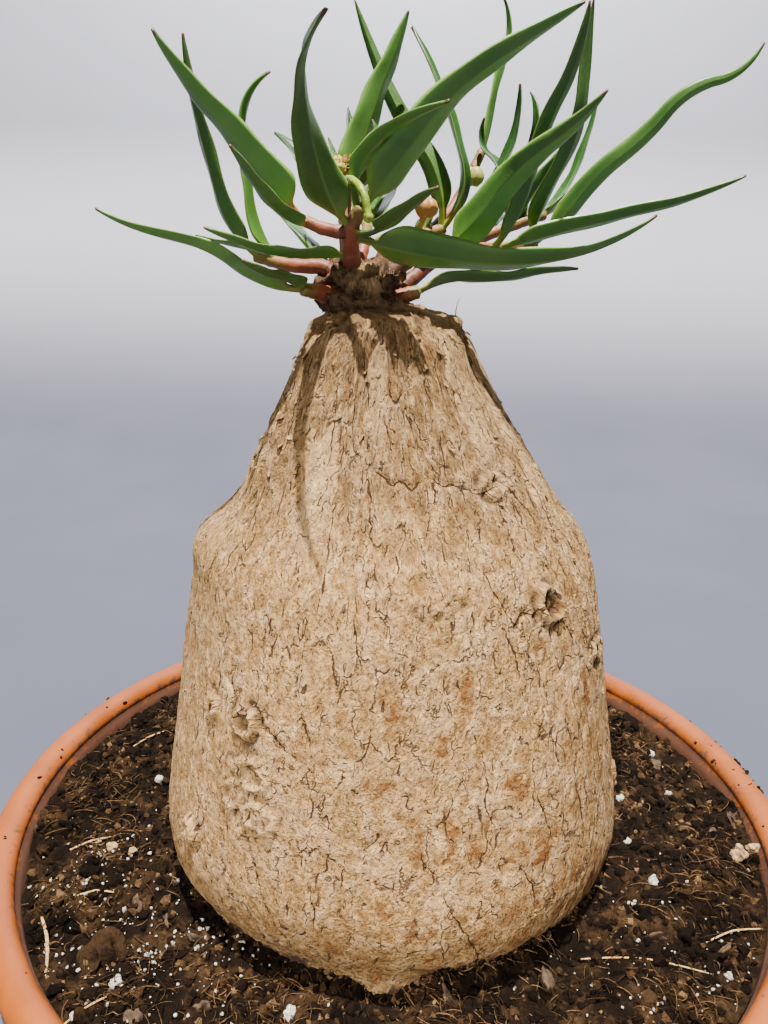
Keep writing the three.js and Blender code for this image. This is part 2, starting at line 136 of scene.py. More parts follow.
def spline(path, shares):
    # Catmull-Rom: between two path points the four nearest give a cubic, and the path goes on past its ends
    path = np.array(path, float)
    padded = np.vstack([2 * path[0] - path[1], path, 2 * path[-1] - path[-2]])
    place = np.clip(shares, 0, 1) * (len(path) - 1)
    span = np.minimum(np.floor(place).astype(int), len(path) - 2)
    t = (place - span)[:, None]
    a, b, c, d = (padded[span + k] for k in range(4))
    square, cube = 2 * a - 5 * b + 4 * c - d, 3 * b - a - 3 * c + d
    return 0.5 * (2 * b + (c - a) * t + square * t ** 2 + cube * t ** 3)


def evenly(values, shares):
    # a short list's value at shares of its length, changing evenly between its entries
    return np.interp(shares, np.linspace(0, 1, len(values)), values)


def signedFrom(points, path, outward):
    # the shortest distance from each point to the line through a path's points, negative on its right as seen
    # against the outward direction, and the share of the path where it is nearest
    nearest = np.full(points.shape[:-1], 1e9)
    where = np.zeros(nearest.shape)
    for number, (start, end) in enumerate(zip(path[:-1], path[1:])):
        way = end - start
        offset = points - start
        share = np.clip(np.sum(offset * way, axis=-1) / np.sum(way * way), 0, 1)
        distance = np.linalg.norm(offset - share[..., None] * way, axis=-1)
        closer = distance < np.abs(nearest)
        side = np.where(np.sum(np.cross(way, offset) * outward, axis=-1) < 0, -1, 1)
        nearest = np.where(closer, side * distance, nearest)
        where = np.where(closer, (number + share) / (len(path) - 1), where)
    return nearest, where


# Skins: points, faces with four and three corners, and named numbers for each point

def ringFaces(rows, columns):
    # the corners of the faces between the rings of a stack, each ring closed
    row = np.arange(rows - 1)[:, None] * columns
    here = np.arange(columns)
    following = (here + 1) % columns
    faces = np.stack([row + here, row + following, row + columns + following, row + columns + here], -1)
    return faces.reshape(-1, 4)


def closedStack(rings, first, last, **values):
    # a stack of rings as one closed skin, with a fan of faces to a point at each end
    rows, columns = rings.shape[:2]
    count = rows * columns
    here = np.arange(columns)
    following = (here + 1) % columns
    top = count - columns
    fans = [
        np.stack([following, here, np.full(columns, count)], -1),
        np.stack([top + here, top + following, np.full(columns, count + 1)], -1),
    ]
    numbers = {}
    for name, value in values.items():
        spread = np.broadcast_to(value, (rows, columns))
        numbers[name] = np.concatenate([spread.ravel(), [spread[0].mean(), spread[-1].mean()]])
    return {
        "points": np.vstack([rings.reshape(-1, 3), first, last]),
        "quads": ringFaces(rows, columns),
        "triangles": np.vstack(fans),
        "values": numbers,
    }


def joined(skins):
    # several skins as one, with the point numbers of each moved on past those before it
    shift = np.cumsum([0] + [len(skin["points"]) for skin in skins[:-1]])
    names = skins[0]["values"]
    return {
        "points": np.vstack([skin["points"] for skin in skins]),
        "quads": np.vstack([skin["quads"] + step for skin, step in zip(skins, shift)]),
        "triangles": np.vstack([skin["triangles"] + step for skin, step in zip(skins, shift)]),
        "values": {name: np.concatenate([skin["values"][name] for skin in skins]) for name in names},
    }


def icosahedron(splits=0):
    # twelve points on three golden rectangles, then each face is cut in four and pushed out to the sphere
    golden = (1 + 5 ** 0.5) / 2
    points = unit(np.array([
        [-1, golden, 0], [1, golden, 0], [-1, -golden, 0], [1, -golden, 0], [0, -1, golden], [0, 1, golden],
        [0, -1, -golden], [0, 1, -golden], [golden, 0, -1], [golden, 0, 1], [-golden, 0, -1], [-golden, 0, 1],
    ], float))
    faces = np.array([
        [0, 11, 5], [0, 5, 1], [0, 1, 7], [0, 7, 10], [0, 10, 11], [1, 5, 9], [5, 11, 4], [11, 10, 2],
        [10, 7, 6], [7, 1, 8], [3, 9, 4], [3, 4, 2], [3, 2, 6], [3, 6, 8], [3, 8, 9], [4, 9, 5], [2, 4, 11],
        [6, 2, 10], [8, 6, 7], [9, 8, 1],
    ])
    for _ in range(splits):
        corners = points[faces]
        middles = unit(corners + np.roll(corners, -1, axis=1))
        a, b, c = corners[:, 0], corners[:, 1], corners[:, 2]
        ab, bc, ca = middles[:, 0], middles[:, 1], middles[:, 2]
        loose = np.stack([a, ab, ca, ab, b, bc, ca, bc, c, ab, bc, ca], 1).reshape(-1, 3)
        points, index = np.unique(loose.round(6), axis=0, return_inverse=True)
        faces = index.reshape(-1, 3)
    return points, faces


def randomTurns(random, count):
    # rotation matrices from random quaternions
    w, x, y, z = unit(random.normal(size=(count, 4))).T
    return np.stack([
        1 - 2 * (y * y + z * z), 2 * (x * y - z * w), 2 * (x * z + y * w),
        2 * (x * y + z * w), 1 - 2 * (x * x + z * z), 2 * (y * z - x * w),
        2 * (x * z - y * w), 2 * (y * z + x * w), 1 - 2 * (x * x + y * y),
    ], -1).reshape(count, 3, 3)


def scattered(shape, turns, sizes, places, rough=0.0, seed=1, **values):
    # copies of one small shape: every point is turned, scaled along its own three axes, moved to its place
    # and pushed in or out by gradient noise
    base, faces = shape
    count = len(base)
    points = np.einsum("nij,nkj->nki", turns, base[None] * sizes[:, None, :])
    if rough:
        reach = sizes.mean(axis=1)[:, None, None]
        bumps = latticeNoise(base[None] * 1.3 + places[:, None, :] * 7.1, seed)
        points = points + rough * reach * bumps[..., None] * unit(points)
    return {
        "points": (points + places[:, None, :]).reshape(-1, 3),
        "quads": np.zeros((0, 4), int),
        "triangles": (faces[None] + np.arange(len(places))[:, None, None] * count).reshape(-1, 3),
        "values": {
            name: np.repeat(np.broadcast_to(value, len(places)), count) for name, value in values.items()
        },
    }


def newObject(name, data):
    made = bpy.data.objects.new(name, data)
    bpy.context.scene.collection.objects.link(made)
    return made


def makePiece(name, skin, node, slot=None, look=None, soft=True):
    # puts a skin into a mesh in metres, on the frame, in place of its CAD node, with the look named by look,
    # else by slot, else by the node
    slot = slot or node
    quads, triangles = skin["quads"], skin["triangles"]
    corners = np.concatenate([quads.ravel(), triangles.ravel()])
    starts = np.concatenate([4 * np.arange(len(quads)), 4 * len(quads) + 3 * np.arange(len(triangles))])
    mesh = bpy.data.meshes.new(name)
    mesh.vertices.add(len(skin["points"]))
    mesh.vertices.foreach_set("co", (skin["points"] * perMillimetre).ravel())
    mesh.loops.add(len(corners))
    mesh.loops.foreach_set("vertex_index", corners)
    mesh.polygons.add(len(starts))
    mesh.polygons.foreach_set("loop_start", starts)
    mesh.polygons.foreach_set("use_smooth", np.full(len(starts), soft))
    mesh.update(calc_edges=True)
    for label, numbers in skin["values"].items():
        kind, field = ("FLOAT", "value") if np.ndim(numbers) == 1 else ("FLOAT_VECTOR", "vector")
        attribute = mesh.attributes.new(label, kind, "POINT")
        attribute.data.foreach_set(field, np.asarray(numbers, np.float32).ravel())
    mesh.materials.append(looks[look or slot])
    piece = newObject(name, mesh)
    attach(piece, "root")
    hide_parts(node)
    print("made", name, 2 * len(quads) + len(triangles), "triangles")
    return piece


# Materials

class Wire:
    # one output of a material's node, with sums and products as Math nodes
    def __init__(self, recipe, socket):
        self.recipe = recipe
        self.socket = socket

    def math(self, operation, *values):
        return self.recipe.node("ShaderNodeMath", {"operation": operation}, dict(enumerate(values)))

    def __add__(self, other):
        return self.math("ADD", self, other)

    def __sub__(self, other):
        return self.math("SUBTRACT", self, other)

    def __rsub__(self, other):
        return self.math("SUBTRACT", other, self)

    def __mul__(self, other):
        return self.math("MULTIPLY", self, other)

    __radd__ = __add__
    __rmul__ = __mul__


class Recipe:
    # a material with one Principled shader, its palette and its colour so far, and short ways to make nodes
    def __init__(self, name, palette, fixed=None):
        self.palette = palette
        self.colour = None
        self.material = bpy.data.materials.new(name)
        self.material.use_nodes = True
        self.tree = self.material.node_tree
        self.tree.nodes.clear()
        self.node("ShaderNodeBsdfPrincipled", {"name": "finish"}, fixed)
        self.finish = self.tree.nodes["finish"]
        output = self.tree.nodes.new("ShaderNodeOutputMaterial")
        self.tree.links.new(self.finish.outputs[0], output.inputs["Surface"])
        self.place = self.node("ShaderNodeTexCoord", out="Object")

    def node(self, kind, settings=None, sockets=None, out=0):
        made = self.tree.nodes.new(kind)
        for name, value in (settings or {}).items():
            if name == "stops":
                self.setStops(made.color_ramp, value)
            else:
                setattr(made, name, value)
        for name, value in (sockets or {}).items():
            if isinstance(value, Wire):
                self.tree.links.new(value.socket, made.inputs[name])
            else:
                made.inputs[name].default_value = value
        return Wire(self, made.outputs[out])

    def setStops(self, ramp, stops):
        while len(ramp.elements) < len(stops):
            ramp.elements.new(1)
        for element, (position, colour) in zip(ramp.elements, stops):
            element.position = position
            element.color = (*colour, 1)

    def number(self, name):
        return self.node("ShaderNodeAttribute", {"attribute_name": name}, out="Fac")

    def noise(self, size, detail=2, vector=None, roughness=0.5, out="Fac", **settings):
        # size is the width of its lumps in millimetres
        sockets = {"Vector": vector or self.place, "Scale": 1000 / size}
        sockets |= {"Detail": detail, "Roughness": roughness}
        return self.node("ShaderNodeTexNoise", settings, sockets, out)

    def cells(self, size, vector, feature="F1", out="Distance"):
        sockets = {"Vector": vector, "Scale": 1000 / size}
        return self.node("ShaderNodeTexVoronoi", {"feature": feature}, sockets, out)

    def cellTone(self, size, vector):
        # a number from 0 to 1 for each cell
        return self.node("ShaderNodeSeparateColor", {}, {0: self.cells(size, vector, out="Color")})

    def vector(self, operation, *values, out=0):
        return self.node("ShaderNodeVectorMath", {"operation": operation}, dict(enumerate(values)), out)

    def upright(self, vector, scale):
        # coordinates times a number along the upright axis: below 1 what is drawn there grows taller
        return self.vector("MULTIPLY", vector, (1, 1, scale))

    def ease(self, value, low, high):
        # 0 at low and 1 at high, eased between them. Low may be above high
        sockets = {"Value": value, "From Min": low, "From Max": high}
        return self.node("ShaderNodeMapRange", {"interpolation_type": "SMOOTHSTEP"}, sockets)

    def mix(self, factor, first, second):
        sockets = {0: factor}
        for index, colour in ((6, first), (7, second)):
            sockets[index] = colour if isinstance(colour, Wire) else (*colour, 1)
        return self.node("ShaderNodeMix", {"data_type": "RGBA"}, sockets, 2)

    def blend(self, factor, first, second):
        # starts the colour as a mixture of two of the palette
        self.colour = self.mix(factor, self.palette[first], self.palette[second])

    def coat(self, factor, name):
        # lays one of the palette's colours over the colour so far
        self.colour = self.mix(factor, self.colour, self.palette[name])

    def ramp(self, value, tones):
        # starts the colour as a ramp through tones that stand at their positions
        stops = {"stops": list(tones.items())}
        self.colour = self.node("ShaderNodeValToRGB", stops, {"Fac": value}, "Color")

    def set(self, name, wire):
        self.tree.links.new(wire.socket, self.finish.inputs[name])

    def bump(self, height, depth):
        # depth in millimetres
        sockets = {"Height": height, "Distance": depth * perMillimetre, "Strength": 1.0}
        self.set("Normal", self.node("ShaderNodeBump", {}, sockets))

    def done(self):
        self.set("Base Color", self.colour)
        return self.material


barkColours = {
    "shade": (0.32, 0.175, 0.062),
    "tan": (0.64, 0.385, 0.145),
    "olive": (0.31, 0.190, 0.065),
    "cream": (0.77, 0.515, 0.250),
    "band": (0.76, 0.500, 0.265),
    "grey": (0.24, 0.142, 0.060),
    "rust": (0.235, 0.092, 0.020),
    "brown": (0.26, 0.105, 0.024),
    "speck": (0.10, 0.044, 0.014),
    "crack": (0.050, 0.023, 0.011),
    "knob": (0.33, 0.195, 0.092),
    "stain": (0.085, 0.048, 0.028),
}


def barkLook():
    # dry tan bark. Its grain, patches, spots and splits all follow the flow of the unrolled bark
    r = Recipe("bark", barkColours, {"Roughness": 0.9, "Specular IOR Level": 0.2})
    flow = r.node("ShaderNodeAttribute", {"attribute_name": "flow"}, out="Vector")
    tall = r.upright(flow, 0.55)
    grain = r.noise(0.8, 5, tall, 0.78)
    r.blend(r.ease(grain, 0.36, 0.60), "shade", "tan")
    r.coat(r.ease(r.noise(2.6, 3, tall, 0.6), 0.50, 0.68) * 0.35, "olive")
    push = r.noise(2.6, 3, flow, out="Color")
    bent = r.vector("MULTIPLY_ADD", push, (4.2 * perMillimetre,) * 3, flow)
    seam = r.cells(5.4, r.upright(bent, 0.45), "DISTANCE_TO_EDGE")
    fineSeam = r.cells(1.9, r.upright(bent, 0.6), "DISTANCE_TO_EDGE")
    inner = r.ease(seam, 0.08, 0.24)
    rusty = r.number("rusty")
    brown = r.ease(r.noise(3.4, 4, flow, 0.62), 0.42, 0.56) * r.ease(r.noise(13, 2, flow), 0.34, 0.50)
    r.coat(brown * inner * (0.12 + 0.88 * rusty), "brown")
    patches = r.ease(r.noise(8, 4, flow, 0.6), 0.50, 0.64)
    r.coat(patches * r.ease(grain, 0.28, 0.50) * 0.5, "cream")
    # the cone is coated greyer and darker: partly its own grey-tan bark, partly painted shade that keeps the
    # cone, which catches more of the sun, from looking brighter than the body
    r.coat(r.number("cone") * r.ease(r.noise(3.4, 4, tall), 0.38, 0.60) * 0.65, "grey")
    rust = r.ease(r.noise(2.2, 4, flow, 0.62), 0.54, 0.68) * r.ease(r.noise(14, 2, flow), 0.42, 0.58)
    r.coat(rust * inner * rusty * 0.85, "rust")
    band = r.ease(seam, 0.14, 0.04) * r.ease(r.noise(4, 3, flow), 0.40, 0.58)
    r.coat(band * r.ease(grain, 0.30, 0.50) * 0.6, "band")
    squat = r.upright(flow, 0.6)
    chips = r.cellTone(0.9, squat)
    r.coat(r.ease(chips, 0.72, 0.95) * 0.35, "cream")
    specks = r.ease(r.noise(0.5, 3, squat, 0.7), 0.57, 0.66)
    r.coat(specks * 0.7, "speck")
    wrinkles = r.noise(2.2, 4, r.upright(flow, 0.7), 0.6, noise_type="RIDGED_MULTIFRACTAL")
    # painted shade: the low hollows between the wrinkles' ridges are darkened with the speck colour
    r.coat(r.ease(wrinkles, 0.25, 0.05) * 0.3, "speck")
    aside = r.number("rift")
    aside = aside.math("ABSOLUTE", aside)
    broad = r.number("open") * (0.06 + 0.34 * r.noise(2.0, 3, flow, 0.7))
    split = r.ease(broad - aside, -0.01, 0.055)
    crease = r.ease(seam, 0.03, 0.0) * r.ease(r.noise(2.6, 3, flow, 0.6), 0.46, 0.56)
    hair = r.ease(fineSeam, 0.06, 0.0) * r.ease(r.noise(1.7, 2, flow), 0.50, 0.60)
    r.coat(hair * 0.45, "speck")
    r.coat(crease * 0.8, "crack")
    r.coat(r.number("pit") * 0.9, "crack")
    r.coat(r.number("pale") * r.ease(grain, 0.26, 0.48), "cream")
    r.coat(r.number("stain"), "stain")
    body = r.colour
    r.blend(r.ease(r.noise(1.6, 5, roughness=0.7), 0.40, 0.58), "stain", "knob")
    r.colour = r.mix(r.number("dark"), body, r.colour)
    r.coat(split * 0.92, "crack")
    relief = grain * 0.7 + wrinkles * 0.3 + chips * 0.12 + band * 0.12 + r.ease(fineSeam, 0, 0.2) * 0.12
    r.bump(relief - split * 0.5 - specks * 0.2 - crease * 0.35, 1.6)
    return r.done()


soilTones = {
    0.0: (0.002, 0.0010, 0.0005), 0.35: (0.008, 0.0042, 0.0020), 0.7: (0.046, 0.0240, 0.0105),
    1.0: (0.180, 0.104, 0.048),
}


def soilLook():
    # crumbly peat: each crumb has its own tone, from black to tan
    r = Recipe("soil", {}, {"Roughness": 0.95, "Specular IOR Level": 0.08})
    grain = r.noise(0.7, 4, roughness=0.7)
    broad = r.ease(r.noise(9, 4, roughness=0.6), 0.36, 0.64)
    r.ramp(r.number("tone") + (grain - 0.5) * 0.55 + (broad - 0.42) * 0.3, soilTones)
    r.bump(grain, 0.9)
    return r.done()


def plainGrain(name, dark, light, size, depth, roughness):
    # a small piece's own colour, mottled between two shades
    r = Recipe(name, {"dark": dark, "light": light}, {"Roughness": roughness})
    grain = r.noise(size, 3, roughness=0.6)
    r.blend(r.ease(grain, 0.35, 0.65), "dark", "light")
    r.bump(grain, depth)
    return r.done()


potColours = {
    "dark": (0.22, 0.050, 0.002), "light": (0.28, 0.066, 0.004), "scuff": (0.42, 0.135, 0.04),
    "stainAndShade": (0.050, 0.022, 0.012),
}


def potLook():
    # satin moulded plastic: faint mottling, dusty scuffs, and on the inside of the wall soil stains mixed
    # with painted shade that grows darker down towards the soil
    r = Recipe("pot", potColours)
    mottle = r.ease(r.noise(9, 3), 0.3, 0.7)
    r.blend(mottle, "dark", "light")
    scuffs = r.ease(r.noise(2.0, 4, r.upright(r.place, 3), 0.7), 0.60, 0.72)
    r.coat(scuffs * r.ease(r.noise(14, 2), 0.45, 0.65) * 0.45, "scuff")
    height = r.node("ShaderNodeSeparateXYZ", {}, {0: r.place}, 2)
    flat = r.vector("LENGTH", r.upright(r.place, 0), out="Value")
    # the wall's inside has a radius of 56.2 mm at the foot, and 16.1 % of the height more above it
    beyond = flat - (height * 0.161 + 0.0562)
    inside = r.ease(flat, 0.0806, 0.0795) * r.ease(beyond, 0.0018, 0.0012) * r.ease(height, 0.002, 0.0038)
    # painted shade: the inside of the wall is painted darker lower down, towards the soil, on top of patchy
    # soil stains
    low = r.ease(height, 0.1405, 0.1345)
    stainAndShade = r.ease(r.noise(2.6, 4, roughness=0.7) + low * 0.32, 0.58, 0.74) * inside
    r.coat(stainAndShade * 0.85, "stainAndShade")
    r.set("Roughness", 0.36 + 0.22 * mottle + stainAndShade * 0.3)
    r.bump(r.noise(1.2, 3) * 0.5 + scuffs * 0.3, 0.05)
    return r.done()


leafColours = {
    "dark": (0.011, 0.056, 0.006),
    "green": (0.055, 0.205, 0.014),
    "bloom": (0.18, 0.350, 0.075),
    "yellow": (0.27, 0.38, 0.03),
    "rib": (0.14, 0.30, 0.04),
    "edge": (0.30, 0.26, 0.11),
    "tip": (0.085, 0.030, 0.020),
    "blush": (0.46, 0.075, 0.030),
}
leafFinish = {
    "Specular IOR Level": 0.38, "Subsurface Weight": 0.12, "Subsurface Radius": (0.6, 1.0, 0.3),
    "Subsurface Scale": 0.0012,
}


def leafLook():
    # green blade with a waxy bloom, a faint midrib, a thin pale margin, a yellow base, a brown tip, and
    # painted shade darkening one half of the blade
    r = Recipe("leaf", leafColours, leafFinish)
    share, across, tint, blush = (r.number(name) for name in ("share", "across", "tint", "blush"))
    aside = across.math("ABSOLUTE", across)
    mottle = r.noise(1.9, 4, roughness=0.6)
    pores = r.ease(r.noise(0.35, 2), 0.56, 0.66)
    r.blend(r.ease(mottle * 0.4 + tint * 0.6, 0.22, 0.78), "dark", "green")
    r.coat(r.ease(r.noise(9, 2) * 0.5 + tint * 0.5, 0.45, 0.85) * 0.7, "bloom")
    r.coat(pores * 0.14, "yellow")
    r.coat(r.number("under") * 0.3, "bloom")
    r.coat(r.ease(share, 0.22, 0.03) * r.ease(mottle, 0.25, 0.6) * 0.7, "yellow")
    # painted shade: the half of each blade where across is positive is darkened towards the dark green,
    # standing in for the shaded half of the folded leaf
    r.coat(r.ease(across, -0.06, 0.16) * r.ease(1 - aside, 0.0, 0.5) * 0.42, "dark")
    rib = r.ease(aside, 0.10, 0.02) * r.ease(share, 0.9, 0.45)
    r.coat(rib * 0.5, "rib")
    r.coat(r.ease(aside, 0.93, 0.985) * 0.55, "edge")
    r.coat(r.ease(share + mottle * 0.02, 0.972, 0.995) * 0.9, "tip")
    r.coat(r.ease(share, 0.13, 0.03) * blush * 0.9, "blush")
    r.set("Roughness", 0.30 + 0.16 * r.ease(mottle, 0.3, 0.7))
    r.bump(mottle * 0.5 + rib * 0.3 - pores * 0.1, 0.10)
    return r.done()


stemTones = {
    0.0: (0.050, 0.018, 0.009), 0.22: (0.135, 0.034, 0.013), 0.6: (0.27, 0.056, 0.016),
    1.0: (0.19, 0.15, 0.024),
}
flowerTones = {
    0.0: (0.12, 0.045, 0.014), 0.45: (0.34, 0.17, 0.025), 0.75: (0.42, 0.33, 0.05), 1.0: (0.50, 0.46, 0.12),
}
fruitTones = {0.0: (0.42, 0.15, 0.035), 0.5: (0.50, 0.34, 0.09), 1.0: (0.36, 0.42, 0.10)}


def stemLook():
    # tan-brown at the caudex, then reddish, then green towards the tip, with paler leaf scars
    r = Recipe("stem", {"scar": (0.25, 0.13, 0.062)}, {"Roughness": 0.5})
    mottle = r.noise(0.9, 4, roughness=0.65)
    r.ramp(r.number("share") + (mottle - 0.5) * 0.35, stemTones)
    r.coat(r.number("ring") * 0.4, "scar")
    r.bump(mottle, 0.15)
    return r.done()


def stalkLook():
    # yellow-green and smooth, a little darker in streaks along it
    r = Recipe("stalk", {"dark": (0.17, 0.27, 0.012), "light": (0.33, 0.42, 0.035)}, {"Roughness": 0.4})
    streaks = r.noise(0.8, 3)
    r.blend(r.ease(streaks, 0.3, 0.7), "dark", "light")
    r.bump(streaks, 0.06)
    return r.done()


def flowerLook():
    # downy, yellow outside and orange-brown below
    r = Recipe("flower", {}, {"Roughness": 0.85})
    grain = r.noise(0.45, 3)
    r.ramp(r.number("tone") + (grain - 0.5) * 0.5, flowerTones)
    r.bump(grain, 0.12)
    return r.done()


def fruitLook():
    # smooth, from pale green to orange-tan by each capsule's own tone
    r = Recipe("fruit", {}, {"Roughness": 0.45})
    mottle = r.noise(0.9, 3)
    r.ramp(r.number("tone") + (mottle - 0.5) * 0.3, fruitTones)
    r.bump(mottle, 0.08)
    return r.done()


looks = {
    "pot": potLook(),
    "soil": soilLook(),
    "bark": barkLook(),
    "leaf": leafLook(),
    "stem": stemLook(),
    "stalk": stalkLook(),
    "flower": flowerLook(),
    "fruit": fruitLook(),
    "straw": plainGrain("straw", (0.26, 0.15, 0.055), (0.50, 0.34, 0.14), 0.8, 0.06, 0.7),
    "grit": plainGrain("grit", (0.20, 0.185, 0.155), (0.52, 0.50, 0.44), 0.5, 0.2, 0.9),
    "chip": plainGrain("chip", (0.022, 0.0105, 0.0042), (0.070, 0.039, 0.0150), 1.2, 0.25, 0.85),
    "tanChip": plainGrain("tanChip", (0.17, 0.10, 0.045), (0.42, 0.28, 0.13), 0.9, 0.2, 0.85),
}
print("materials ready")


# Pot

pot = {
    "height": 140, "rimRadius": 85, "lipWidth": 6.3, "lipHalf": 2.6, "rimDepth": 27, "wall": 2.2,
    "footRadius": 58, "floor": 4, "drainHoles": 6, "drainRadius": 5.5, "drainRing": 34, "around": 288,
    "waver": 0.12, "underLip": 4.5, "skirtInset": 2.4, "skirtDraft": 0.075,
}
# between the pot's inside and the soil
gap = 0.3


def potInside(z):
    # the inside of the wall widens evenly from the floor to the rim
    low = pot["footRadius"] - pot["wall"] + 1
    high = pot["rimRadius"] - pot["lipWidth"]
    return low + (high - low) * (z - pot["floor"]) / (pot["height"] - pot["floor"])


def arc(centre, radii, start, end, count):
    # points on an ellipse between two angles in degrees
    turn = np.radians(np.linspace(start, end, count))
    return np.stack([centre[0] + radii[0] * np.cos(turn), centre[1] + radii[1] * np.sin(turn)], -1)


def potOutline():
    # radius and height from the middle of the underside, round the lip, to the middle of the floor
    top, rim, wall = pot["height"], pot["rimRadius"], pot["wall"]
    lip = (pot["lipWidth"] / 2, pot["lipHalf"])
    skirtFoot = top - pot["rimDepth"]
    underLip = top - pot["underLip"]
    skirt = rim - pot["skirtInset"]
    return np.vstack([
        [[8, 0], [20, 0], [44, 0]],
        arc((pot["footRadius"] - 2, 2), (2, 2), -90, 0, 6),
        [[potInside(z) + wall, z] for z in (12, 30, 50, 70, 90, skirtFoot)],
        [[potInside(underLip) + wall, underLip], [rim - 0.2 - wall, underLip]],
        [[skirt - wall, skirtFoot + 0.4]],
        arc((skirt - 1, skirtFoot + 0.9), (1, 0.9), -90, 0, 5),
        [[skirt + pot["skirtDraft"] * rise, skirtFoot + rise] for rise in (0.8, 9, 18)],
        arc((rim - lip[0], top - lip[1]), lip, -12, 192, 30),
        [[potInside(z), z] for z in (136, 134, 130, 110, 80, 50, 20)],
        arc((potInside(7) - 3, 7), (3, 3), 0, -90, 6),
        [[44, pot["floor"]], [20, pot["floor"]], [8, pot["floor"]]],
    ])


def potSkin():
    # the outline turned about the upright axis, its radius wavering by a tenth of a millimetre
    outline = potOutline()
    turn = fullTurn(pot["around"])
    upward = smooth(outline[:, 1], 20, 140)[:, None]
    waves = 1 + np.sin(2 * turn + 0.6) * 0.6 + np.sin(5 * turn) * 0.4
    radius = outline[:, 0, None] * (1 - pot["waver"] / pot["rimRadius"] * upward * waves)
    rings = vectors(radius * np.cos(turn), radius * np.sin(turn), outline[:, 1, None])
    return closedStack(rings, [[0, 0, 0]], [[0, 0, pot["floor"]]])


def drillPot(piece):
    # cuts the drainage holes with one mesh of six closed cylinders
    drills = []
    below, above = -4, 8
    circle = pot["drainRadius"] * heading(fullTurn(32), 0)
    for hole in range(pot["drainHoles"]):
        middle = pot["drainRing"] * heading(2 * np.pi * hole / pot["drainHoles"], 0)
        rings = np.stack([middle + circle + up * z for z in (below, above)])
        drills.append(closedStack(rings, [middle + up * below], [middle + up * above]))
    cutter = makePiece("drill", joined(drills), "pot")
    cut = piece.modifiers.new("holes", "BOOLEAN")
    cut.object = cutter
    cut.operation = "DIFFERENCE"
    cut.solver = "EXACT"
    whole = bpy.data.meshes.new_from_object(piece.evaluated_get(bpy.context.evaluated_depsgraph_get()))
    piece.modifiers.clear()
    piece.data = whole
    bpy.data.objects.remove(cutter)


drillPot(makePiece("pot_shell", potSkin(), "pot"))


# Caudex

crown = np.array([-8.5, -8.0, 250.0])
caudex = {
    "outline": [
        [4, 71], [10, 82], [24, 96], [38, 112], [43, 126], [45, 136], [45.6, 147], [44.5, 160], [42.3, 175],
        [39.8, 189], [37.6, 199], [35.4, 204.5], [30.8, 210.5], [27, 216], [22.4, 224], [19.2, 229.5],
        [16.4, 234.5], [14.4, 239], [12.3, 242.2], [10.2, 243.6], [7.6, 244.8], [7.1, 247], [6.8, 249.5],
        [5.6, 251.6], [3.2, 252.5],
    ],
    "foot": 70, "top": 252.8, "middle": (-1.0, -8.0), "lean": -2.8, "around": 440, "rows": 224,
    "plateSize": 6.5, "scaleSize": 2.4, "grain": 0.08,
}

# Old branch scars: angle from the front in degrees, height, radius, how far each stands out, depth of its
# pit, how many rings it has, how much wider than high it is, and how dark its pit is
scarParts = ("angle", "height", "radius", "rise", "pit", "rings", "wide", "dark")
scars = [dict(zip(scarParts, row)) for row in (
    (43, 200.5, 3.2, 1.3, 2.0, 2, 1.0, 1.0), (39, 218.2, 2.2, 0.8, 0.8, 2, 1.2, 0.8),
    (-34, 181.8, 3.0, 1.5, 1.9, 1, 1.0, 0.9), (-47, 180.3, 2.8, 1.0, 0.5, 1, 0.8, 0.15),
    (-51, 155.5, 3.0, 0.9, 0.1, 1, 1.0, 0.0), (-31, 173.6, 3.2, 0.5, 0.5, 2, 1.2, 0.3),
    (-36, 168.6, 3.0, 0.5, 0.5, 2, 0.9, 0.2), (-28, 166.6, 2.8, 0.8, 0.3, 2, 1.3, 0.1),
    (88, 152, 3.4, 1.2, 0.3, 1, 1.0, 0.2), (64, 188.6, 2.4, 0.5, 0.9, 1, 1.5, 0.7),
    (8, 206, 3.6, 0.5, 0.2, 3, 1.9, 0.1), (141, 196, 3.0, 0.9, 1.2, 2, 1.1, 0.6),
    (-128, 172, 3.4, 1.0, 1.0, 2, 0.9, 0.5), (176, 214, 2.4, 0.7, 0.9, 1, 1.0, 0.6),
)]

